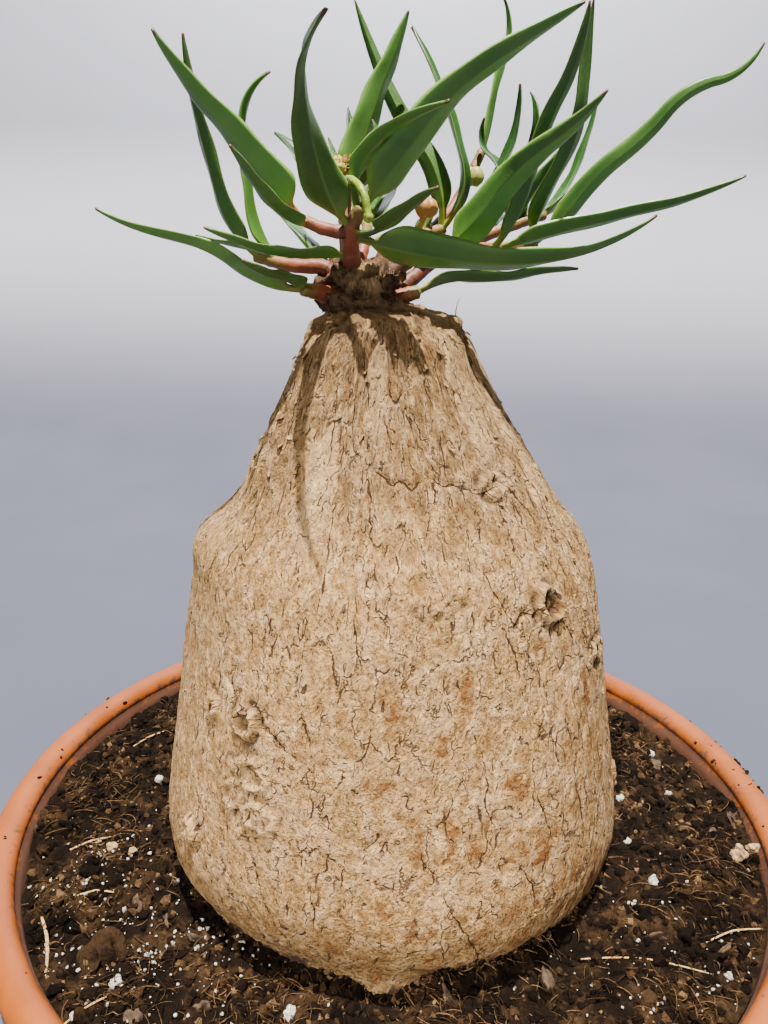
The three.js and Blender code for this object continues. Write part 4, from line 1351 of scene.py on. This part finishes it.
def rimCrumbs():
    # each sits on the lip's rounded top, at a tilt round the middle of its section
    random = np.random.default_rng(43)
    angle = np.radians(np.concatenate([random.normal(*cluster) for cluster in rimClusters]))
    tilt = np.radians(random.uniform(35, 150, len(angle)))
    reach = pot["rimRadius"] - pot["lipWidth"] / 2 + pot["lipWidth"] / 2 * np.cos(tilt) * 0.98
    height = pot["height"] - pot["lipHalf"] + pot["lipHalf"] * np.sin(tilt) - 0.14
    places = vectors(reach * np.cos(angle), reach * np.sin(angle), height)
    radius = 0.12 + 0.62 * random.random(len(angle)) ** 2
    places[:, 2] = np.minimum(places[:, 2], pot["height"] - 0.9 * radius)
    return lumps(random, places, radius, random.uniform(0.1, 0.6, len(angle)), 1, 0.6, 0.7)


makePiece("pot_rim_crumbs", rimCrumbs(), "pot", look="soil")


def leafOf(on, at, length, width, azimuth, rise, roll, **own):
    # a leaf stands on a stem at a share of its path. Azimuth, rise and roll in degrees change evenly from
    # root to tip. Its own tint runs from dark to light green, and its blush is how red its root is
    return dict(on=on, at=at, length=length, width=width, azimuth=azimuth, rise=rise, roll=roll, **own)


# Shoots. A stem's path is measured from the crown's middle, and its radii go from root to tip
shoots = {
    "front_shoot": {
        "stems": [
            {"radii": [1.8, 1.1],
             "path": [[-1, -3, 0], [-1.5, -5.5, 3.5], [-1.3, -9, 7.6], [0.5, -10.5, 10.8]]},
            {"path": [[-1.4, -8.5, 7], [-5.5, -9.3, 7.5], [-10, -8.8, 9.2]], "radii": [1.2, 0.9]},
        ],
        "leaves": [
            leafOf(1, 0.95, 33, 7.2, [-160, -161], [47, 48, 46, 62], [46, 28], tint=0.95, blush=1),
            leafOf(1, 0.8, 19.5, 4.7, [-126, -127], [-6, 29, 45, 45], [3, 6], blush=1),
            leafOf(0, 0.66, 42.5, 6.9, [-126, -59], [35, 51, 22, 15], [0, 45, 66, 72, 75], tint=0.25),
            leafOf(0, 0.68, 18.5, 4.6, [-38, -35], [-27, 24, 34, 24], [-10, -20],
                   petiole=0.3, tint=0.1, blush=1.6),
            leafOf(0, 0.92, 44.5, 7.7, [-7, 1], [50, 52, 32, 33], [-52, -33], tint=0.85),
            leafOf(0, 0.95, 25.5, 4, [-35, -37], [120, 43, 18, 11], [-13, -22], petiole=0.2, tint=0.8),
            leafOf(0, 0.58, 53.5, 8, [7, 7], [-15, -6, 11, 40], [-60, -17], tint=0.7),
            leafOf(0, 0.38, 24.5, 5, [-161, -160], [-10, -1, 18, 24], [13, 30]),
        ],
    },
    "left_shoot": {
        "stems": [
            {"path": [[-4.3, -0.7, 0.2], [-7, -0.5, 1.5], [-12.5, 0, 1.7], [-18.9, 2, 3]], "radii": [1.5, 1]},
        ],
        "leaves": [
            leafOf(0, 0.95, 37, 5.4, [-161, -162], [35, 76, 77, 88], [18, 38], tint=0.1),
            leafOf(0, 0.8, 32.5, 4.8, [4, 4], [124, 97, 95, 29], [-14, -29], tint=0.75),
        ],
    },
    "low_left_shoot": {
        "stems": [
            {"path": [[-4.4, -2.9, -3.4], [-6.6, -4.3, -2.7], [-9.5, -6.5, -2]], "radii": [1.6, 1.2]},
        ],
        "leaves": [
            leafOf(0, 0.93, 36, 5.6, [-174, -173], [-1, 35, 9, 33], [34, 23], tint=0.8, blush=0.4),
            leafOf(0, 0.9, 13.5, 5.4, [-137, -133], [26, 9, 36], [0, 25], tint=0.1),
        ],
    },
    "right_shoot": {
        "stems": [
            {"radii": [1.5, 1],
             "path": [[4.6, 0, 0.4], [9.5, 1, 3.7], [16.2, 2, 4.9], [24.5, 6, 5.4], [31.5, 11.5, 6.3]]},
        ],
        "leaves": [
            leafOf(0, 0.42, 35.5, 6.6, [-24, -19], [35, 53, 33, 51], [-85, -42]),
            leafOf(0, 0.7, 40, 5.5, [-44, -43], [38, 76, 61, 87], [21, -29], tint=0.2),
            leafOf(0, 0.94, 40, 5, [-49, -53], [72, 53, 91, 87], [13, -19], tint=0.1),
            leafOf(0, 0.97, 51, 4.4, [-7, 5], [37, 56, 38, 52, 13, 70], [-59, -90], tint=0.6),
            leafOf(0, 0.72, 44, 4.9, [0, -4], [17, 14, 15, 28], [-36, -39], tint=0.6),
        ],
    },
    "back_right_shoot": {
        "stems": [
            {"path": [[2.2, 2.7, 0.6], [4.5, 4.6, 4.5], [9.5, 9, 7], [14.5, 12, 8.8]], "radii": [1.4, 1]},
        ],
        "leaves": [
            leafOf(0, 0.97, 43.5, 4.4, [161, 159], [96, 49, 63, 68], [108, 108], tint=0.1),
            leafOf(0, 0.98, 39, 5.6, [146, 137], [137, 70, 61, 52], [26, 4]),
            leafOf(0, 0.75, 15, 5, [70, 58], [50, 46], [-30, -30]),
        ],
    },
    "far_back_shoot": {
        "stems": [
            {"radii": [1.5, 0.9],
             "path": [[1.9, 5, -2.6], [5, 7.6, 0.5], [11, 13.5, 7], [15.9, 20, 12.2], [19.2, 24, 18],
                      [22, 27, 24]]},
        ],
        "leaves": [
            leafOf(0, 0.97, 30.5, 4.3, [58, 38], [55, 77, 67, 132], [-63, -90], tint=0.9, blush=0.5),
        ],
    },
    "crown_back_shoot": {
        "stems": [
            {"path": [[-1.6, 2.7, 0], [-2.7, 4, 4], [-3.5, 6.5, 10], [-3.3, 8, 15.3]], "radii": [1.5, 1]},
        ],
        "leaves": [
            leafOf(0, 0.72, 23.5, 5.6, [145, 138], [22, 55, 22], [13, -22], tint=0.1),
            leafOf(0, 0.95, 32, 7.5, [28, 26], [68, 72, 65, 74], [-73, -68], tint=0.9),
            leafOf(0, 0.97, 15.5, 4, [-40, -34], [1, 60, 134], [-5, -14], tint=0),
        ],
    },
    "rear_shoot": {
        "stems": [
            {"path": [[-1.6, 5, -3], [-1.3, 8, 0.6], [-0.3, 12, 5.5], [0, 19, 9.5]], "radii": [1.5, 0.9]},
        ],
        "leaves": [
            leafOf(0, 0.97, 36, 5.6, [104, 102], [37, 51], [15, 15]),
            leafOf(0, 0.92, 29.5, 5, [116, 113], [34, 45], [25, 25]),
            leafOf(0, 0.95, 34, 5.6, [66, 64], [50, 32], [-20, -20]),
            leafOf(0, 0.66, 36, 6.2, [88, 88], [9, -11], [0, 0]),
            leafOf(0, 0.85, 42, 6, [78, 84], [30, 8], [-8, -8]),
        ],
    },
    "rear_left_shoot": {
        "stems": [
            {"path": [[-4.2, 2.7, -3], [-6.3, 4.4, -0.6], [-8.7, 10, 3.5]], "radii": [1.4, 1]},
        ],
        "leaves": [
            leafOf(0, 0.55, 12, 3.8, [122, 122], [44, 31], [10, 10]),
            leafOf(0, 0.95, 34, 5.8, [126, 127], [26, 33], [20, 20]),
            leafOf(0, 0.92, 31, 5.8, [114, 113], [-7, 2], [5, 5]),
            leafOf(0, 0.9, 30, 5.4, [150, 156], [4, 12], [12, 12]),
        ],
    },
    "low_right_shoot": {
        "stems": [
            {"path": [[4.6, -1.8, -3.7], [7, -2, -3], [10, -1.9, -2.2]], "radii": [1.5, 1.2]},
        ],
        "leaves": [
            leafOf(0, 0.93, 31, 5.4, [26, 4], [27, -3, 13, 3], [-16, -45], tint=0.3),
        ],
    },
    "behind_right_shoot": {
        "stems": [
            {"radii": [1.5, 0.9],
             "path": [[4.8, 2, -3.2], [8.6, 5, -0.4], [13.5, 9.5, 3.5], [19.5, 14, 6.5], [27, 17, 9.5],
                      [34.2, 20, 12]]},
        ],
        "leaves": [
            leafOf(0, 0.6, 31.5, 4.8, [44, 40], [64, 55, 100], [-17, -2], tint=0),
            leafOf(0, 0.8, 23.5, 4.4, [121, 129], [85, 65, 29, 127], [20, 0], tint=0.1),
            leafOf(0, 0.88, 26, 3.6, [75, 115], [38, 136, 32], [-54, -62]),
            leafOf(0, 0.97, 26.5, 4.2, [37, 39], [26, 65, 77], [-16, -8]),
            leafOf(0, 0.82, 18.5, 5.2, [15, 15], [60, 55, 53], [-44, -60]),
            leafOf(0, 0.9, 40, 6.2, [53, 55], [11, 35], [-15, -15]),
            leafOf(0, 0.62, 39, 6, [66, 65], [19, 18], [-5, -5]),
        ],
    },
}
leafGrid = {"steps": 40, "rows": 72, "top": 15, "bottom": 13, "fold": 22, "petiole": 0.07, "wave": 0.035}
stemGrid = {"perSpan": 12, "around": 18, "ringEvery": 2.6}


def tubeFrame(path, shares):
    # points, headings and the two directions across a path, kept upright against the path's overall course
    points = spline(path, shares)
    course = points[-1] - points[0]
    level = unit(np.cross(course, up))
    along = unit(np.gradient(points, axis=0))
    upright = unit(np.cross(along, level))
    return points, along, np.cross(upright, along), upright


def stemSkin(path, radii, seed, ringed=0.1):
    # a round tube whose radius changes evenly, with a low ring at each leaf scar and fine lumps
    path = np.array(path) + crown
    shares = np.linspace(0, 1, stemGrid["perSpan"] * (len(path) - 1) + 1)
    points, along, across, upright = tubeFrame(path, shares)
    turn = fullTurn(stemGrid["around"])
    length = np.cumsum(np.linalg.norm(np.diff(points, axis=0, prepend=points[:1]), axis=1))
    ring = np.maximum(0, np.cos(2 * np.pi * length / stemGrid["ringEvery"] + seed)) ** 8
    outward = across[:, None] * np.cos(turn)[:, None] + upright[:, None] * np.sin(turn)[:, None]
    radius = (evenly(radii, shares) + ringed * ring)[:, None]
    radius = radius + 0.08 * fractal(points[:, None] + outward, 1.3, 200 + seed, 2)
    rings = points[:, None] + outward * radius[..., None]
    root = points[:1] - 0.3 * along[:1]
    tip = points[-1:] + 0.6 * radii[-1] * along[-1:]
    return closedStack(rings, root, tip, share=shares[:, None], ring=ring[:, None])


def leafWidth(share, petiole, width):
    # a slim petiole, a blade that widens over its first eighth by a sine, and then a taper by a power of 0.6
    blade = np.clip((share - petiole) / (1 - petiole), 0, 1)
    shoulder = np.sin(np.pi / 2 * np.minimum(1, 8 * blade)) ** 0.8
    taper = 1.06 * (1 - blade) ** 0.6
    slim = (1.5 - 0.8 * share) * (1 - 0.5 * smooth(share, 0.9, 1))
    return np.maximum(slim, width * shoulder * taper)


def leafSkin(start, leaf, seed):
    # a blade that walks along its heading in 40 steps, channelled along its midrib, thin at its margins,
    # with a rib below and a slight wave along each side
    steps = leafGrid["steps"]
    own = np.random.default_rng(300 + seed)
    stations = np.linspace(0, 1, steps + 1)
    azimuth = np.radians(evenly(leaf["azimuth"], stations))
    rise = np.radians(evenly(leaf["rise"], stations))
    course = heading(azimuth, rise)
    walk = np.vstack([np.zeros(3), np.cumsum(course[:-1], axis=0)]) * leaf["length"] / steps
    share = np.linspace(0, 1, leafGrid["rows"])
    spine = start + spline(walk, share)
    along = unit(spline(course, share))
    side = spline(vectors(np.sin(azimuth), -np.cos(azimuth), 0), share)
    roll = np.radians(evenly(leaf["roll"], share))[:, None]
    across = unit(side * np.cos(roll) + np.cross(along, side) * np.sin(roll))
    upper = np.cross(across, along)
    half = leafWidth(share, leaf.get("petiole", leafGrid["petiole"]), leaf["width"]) / 2
    thick = (0.52 - 0.24 * np.minimum(1, 3 * share))[:, None]
    lift = ((half - 0.35) * np.tan(np.radians(leafGrid["fold"])))[:, None]
    top, bottom = leafGrid["top"], leafGrid["bottom"]
    t = np.concatenate([np.linspace(-1, 1, top), np.linspace(1, -1, bottom + 2)[1:-1]])
    under = np.repeat([0.0, 1.0], [top, bottom])
    channel = (np.sqrt(t ** 2 + 0.003) - 0.0548) / 0.9467
    phase = own.uniform(0, 6, 2)
    share = share[:, None]
    waves = np.sin(6.5 * np.pi * share + phase[(t > 0).astype(int)])
    wave = leafGrid["wave"] * leaf["width"] * waves * t ** 2
    body = np.sqrt(np.clip(1 - np.abs(t) ** 3, 0.0, 1)) * thick
    rib = 0.35 * thick * bell(t, 0.13) * (1 - 0.8 * share)
    height = lift * channel + wave * np.sin(np.pi * share)
    height = height + np.where(under, -body - rib, body - 0.6 * rib)
    rings = spine[:, None] + across[:, None] * (half[:, None] * t)[..., None]
    rings = rings + upper[:, None] * height[..., None]
    return closedStack(
        rings[:, ::-1], spine[:1], spine[-1:] + 0.25 * along[-1:], share=share, across=t[::-1],
        under=under[::-1], tint=leaf.get("tint", own.uniform(0.2, 0.7)), blush=leaf.get("blush", 0.15),
    )


def outwards(skin):
    # turns the faces round if the skin's signed volume is negative
    triangles = np.vstack([skin["quads"][:, [0, 1, 2]], skin["quads"][:, [0, 2, 3]], skin["triangles"]])
    a, b, c = (skin["points"][triangles[:, k]] for k in range(3))
    if np.sum(a * np.cross(b, c)) < 0:
        skin["quads"] = skin["quads"][:, ::-1]
        skin["triangles"] = skin["triangles"][:, ::-1]
    return skin


def growShoot(name, shoot, seed):
    # one piece of stems and one of leaves
    stems = [outwards(stemSkin(**stem, seed=seed + number)) for number, stem in enumerate(shoot["stems"])]
    leaves = []
    for number, leaf in enumerate(shoot["leaves"]):
        start = spline(np.array(shoot["stems"][leaf["on"]]["path"]) + crown, np.array([leaf["at"]]))
        leaves.append(outwards(leafSkin(start, leaf, 10 * seed + number)))
    makePiece("stem_" + name, joined(stems), name, "stem")
    makePiece("leaves_" + name, joined(leaves), name, "leaf")


for seed, (name, shoot) in enumerate(shoots.items()):
    growShoot(name, shoot, seed)


# Blooms and fruit

hook = {
    "path": [[-2.7, -4.1, 6.3], [-3.2, -4.6, 9.5], [-2.7, -7, 12.9], [-1.8, -11, 14.8], [-0.2, -14.5, 14.1],
             [1.2, -16.4, 12.2], [1.9, -17, 9.3]],
    "radii": [0.52, 0.62],
}
flower = {
    "path": [[-4.6, 6, 14], [-4.8, 4, 16], [-4.4, 2.6, 17.3]], "radii": [0.6, 0.7], "radius": 2.5, "heads": 6,
    "fringe": 260,
}
capsules = {
    "capsule_right": {
        "path": [[18.8, 21.3, 18], [19.1, 20, 17.9], [19.6, 18.6, 17.7]], "radii": [0.55, 0.6], "radius": 2,
        "tone": 0.9,
    },
    "capsule_back": {
        "path": [[9.8, 7, 8.4], [10.5, 6.2, 10], [10.9, 6, 11.2]], "radii": [0.55, 0.6], "radius": 1.9,
        "tone": 0.15,
    },
}


def sphereSkin(centre, radii, seed, rough, tone, rows=18, columns=24):
    # an ellipsoid of latitude and longitude pushed in and out by noise
    latitude = np.linspace(-np.pi / 2, np.pi / 2, rows + 2)[1:-1, None]
    ball = heading(fullTurn(columns), latitude)
    swell = 1 + rough * fractal(ball * 2, 1.4, seed, 2)
    rings = centre + ball * radii * swell[..., None]
    return outwards(closedStack(rings, [centre - up * radii], [centre + up * radii], tone=tone))


def stalkSkin(part, seed, low, high, ringed=0.1):
    # a part's own stalk, its tone changing evenly from root to tip
    skin = outwards(stemSkin(part["path"], part["radii"], seed, ringed))
    skin["values"] = {"tone": low + (high - low) * skin["values"]["share"]}
    return skin


def hookPiece():
    # the stalk's tube, thickest at its hanging end, which carries a small drying bud
    end = np.array(hook["path"][-1]) + crown
    bud = sphereSkin(end - 0.2 * up, np.array([0.74, 0.74, 0.9]), 401, 0.2, 0.5)
    return joined([stalkSkin(hook, 7, 0, 1, 0), bud])


def flowerPiece():
    # a stalk, a cluster of small cups, and a fringe of fine fingers on each
    random = np.random.default_rng(51)
    centre = np.array(flower["path"][-1]) + crown + 0.3 * flower["radius"] * up
    skins = [stalkSkin(flower, 9, 0.35, 0.55)]
    turn = fullTurn(flower["heads"])
    heads = centre + 0.48 * flower["radius"] * vectors(np.cos(turn), np.sin(turn), 0.5 * np.cos(2 * turn))
    heads = np.vstack([heads, centre + [0, 0, 0.7]])
    for number, head in enumerate(heads):
        radii = np.array([0.85, 0.85, 1.05]) * random.uniform(0.85, 1.15)
        skins.append(sphereSkin(head, radii, 410 + number, 0.35, 0.25 + 0.12 * number, 12, 16))
    count = flower["fringe"]
    which = random.integers(0, len(heads), count)
    outward = unit(random.normal(size=(count, 3)) + [0, 0, 0.6])
    length = random.uniform(0.5, 1.2, count)
    rise = np.arcsin(np.clip(outward[:, 2], -1, 1))
    tone = random.uniform(0.6, 1.0, count)
    roots = heads[which] + 0.8 * outward
    return joined(skins + [bentFibres(random, roots, length, 0.09, rise, tone, 3, 0.1)])


def capsulePiece(capsule, seed):
    # a stalk and three lobes round the capsule's axis, with the dried styles on top
    random = np.random.default_rng(seed)
    centre = np.array(capsule["path"][-1]) + crown + 0.4 * capsule["radius"] * up
    skins = [stalkSkin(capsule, seed % 10, 0.4, 0.4)]
    for lobe in range(3):
        middle = centre + 0.42 * capsule["radius"] * heading(2 * np.pi * lobe / 3, 0)
        radii = 0.78 * capsule["radius"] * np.array([1, 1, 1.12])
        skins.append(sphereSkin(middle, radii, seed + lobe, 0.10, capsule["tone"]))
    roots = np.repeat([centre + up * 0.8 * capsule["radius"]], 6, 0)
    return joined(skins + [bentFibres(random, roots, 0.9, 0.1, 1.0, 0.2, 3)])


makePiece("stalk_hooked", hookPiece(), "hooked_stalk", "stalk")
makePiece("flower_heads", flowerPiece(), "flower_cluster", "flower")
for seed, (name, capsule) in enumerate(capsules.items()):
    makePiece("fruit_" + name, capsulePiece(capsule, 420 + seed), name, "fruit")

# Dry fibres that stand up from the bark's edge: angle from the front, height, length and rise of each
barkFibres = [
    (92, 242.2, 5.0, 1.45), (97, 241.5, 2.4, 0.9), (104, 241.8, 1.8, 0.7), (60, 243, 1.6, 0.8),
    (30, 243.4, 2.0, 0.9), (-60, 243, 1.8, 0.8),
]


def plateauHairs():
    # a few thin dry fibres, most of them right of the knob
    turn, z, length, rise = np.transpose(barkFibres)
    return bentFibres(np.random.default_rng(61), onCaudex(turn, z), length, 0.12, rise, 0.8, 6, 0.15)


makePiece("bark_fibres", plateauHairs(), "caudex", "bark", "straw")
print("plant ready")


# Floor, lights and camera

studio = {
    # fade: heights in metres over which the paint turns from the dark floor colour to the pale wall colour, a
    # painted fall-off of light
    "floorHalf": 2.2, "wallAt": 0.75, "bend": 0.45, "wallHeight": 1.7, "fade": (0.02, 0.42),
    "paint": {"floor": (0.051, 0.056, 0.088), "wall": (0.66, 0.67, 0.75), "cloud": (0.2, 0.2, 0.24)},
    "ambient": 0.075, "ambientColour": (0.78, 0.86, 1.0, 1),
}
# Lights: kind, place, aim, power, size, colour and spread. The key is a high sun, the fill a soft light from
# the front, the body a narrow spot on the caudex, and the last one lights the wall
plantMiddle = (0, 0, 0.2)
lights = {
    "key": ("SUN", plantMiddle + heading(*np.radians([-80, 82.5])), plantMiddle, 16, 0, (1, 0.95, 0.87), 0.7),
    "fill": ("AREA", (0.25, -1.1, 0.22), plantMiddle, 1.4, 0.9, (1, 0.97, 0.93)),
    "body": ("SPOT", (-0.30, -0.86, 0.905), (0, -0.03, 0.150), 175, 0.05, (1, 0.96, 0.9), 7.5),
    "wall": ("AREA", (0, 0.45, 1.15), (0, 1.2, 1.5), 34, 0.8),
}


def sweepLook():
    # plain paint with a faint unevenness, dark on the floor and paler up the wall: a painted fall-off of
    # light, darker low and brighter high
    r = Recipe("sweep", studio["paint"], {"Roughness": 0.85})
    height = r.node("ShaderNodeSeparateXYZ", {}, {0: r.place}, 2)
    # painted light: the paint turns from the dark floor colour to the pale wall colour with height, standing
    # in for the light falling off towards the bottom of the backdrop
    r.blend(r.ease(height, *studio["fade"]), "floor", "wall")
    r.coat(r.noise(160, 2) * 0.16, "cloud")
    return r.done()


def makeSweep():
    # a floor that bends up into a wall behind the pot: a flat run, a quarter circle and an upright run
    bend, wallAt, wide = studio["bend"], studio["wallAt"], studio["floorHalf"]
    turn = np.linspace(0, np.pi / 2, 24)
    line = np.vstack([
        [[-wide, 0]], np.stack([wallAt + bend * np.sin(turn), bend - bend * np.cos(turn)], -1),
        [[wallAt + bend, studio["wallHeight"]]],
    ])
    points = [(x, y, z - 0.0002) for y, z in line for x in (-wide, wide)]
    faces = [(2 * k, 2 * k + 1, 2 * k + 3, 2 * k + 2) for k in range(len(line) - 1)]
    mesh = bpy.data.meshes.new("sweep")
    mesh.from_pydata(points, [], faces)
    mesh.polygons.foreach_set("use_smooth", np.full(len(faces), True))
    mesh.materials.append(sweepLook())
    sweep = newObject("sweep", mesh)


def makeLight(name, kind, place, aim, power, size=0.0, colour=(1, 1, 1), spread=0.0):
    # places and sizes in metres, the spread of a sun or a spot in degrees
    light = bpy.data.lights.new(name, kind)
    light.energy = power
    light.color = colour
    if kind == "AREA":
        light.size = size
    if kind == "SUN":
        light.angle = np.radians(spread)
    if kind == "SPOT":
        light.spot_size = np.radians(spread)
        light.spot_blend = 1
        light.shadow_soft_size = size
    holder = newObject(name, light)
    holder.location = place
    holder.rotation_euler = (Vector(aim) - Vector(place)).to_track_quat("-Z", "Y").to_euler()


def makeLights():
    for name, row in lights.items():
        makeLight(name, *row)
    world = bpy.data.worlds.new("studio")
    world.use_nodes = True
    background = world.node_tree.nodes["Background"]
    background.inputs["Color"].default_value = studio["ambientColour"]
    background.inputs["Strength"].default_value = studio["ambient"]
    bpy.context.scene.world = world


# The photograph's camera: place in millimetres, turns in degrees, focal length in pixels of a frame that is
# 768 wide and 1024 tall, and the sensor's longer side in millimetres
view = {
    "place": (0, -154.10, 252.70), "down": 17.38, "left": 1.39, "roll": -1.37, "focal": 800, "tall": 1024,
    "sensor": 36,
}


def makeCamera():
    # looks along -Z of a matrix whose columns are right, up and back
    down, yaw, roll = np.radians([view["down"], -view["left"], view["roll"]])
    ahead = np.array([np.sin(yaw) * np.cos(down), np.cos(yaw) * np.cos(down), -np.sin(down)])
    level = np.array([np.cos(yaw), -np.sin(yaw), 0])
    below = np.cross(ahead, level)
    right = level * np.cos(roll) + below * np.sin(roll)
    bottom = -level * np.sin(roll) + below * np.cos(roll)
    lens = bpy.data.cameras.new("camera")
    lens.sensor_width = view["sensor"]
    lens.lens = view["sensor"] * view["focal"] / view["tall"]
    lens.clip_start = 0.01
    lens.clip_end = 20
    camera = newObject("camera", lens)
    turned = Matrix(np.stack([right, -bottom, -ahead], -1).tolist()).to_4x4()
    camera.matrix_world = Matrix.Translation(Vector(view["place"]) * perMillimetre) @ turned
    bpy.context.scene.camera = camera


makeSweep()
makeLights()
makeCamera()
print("stage ready")
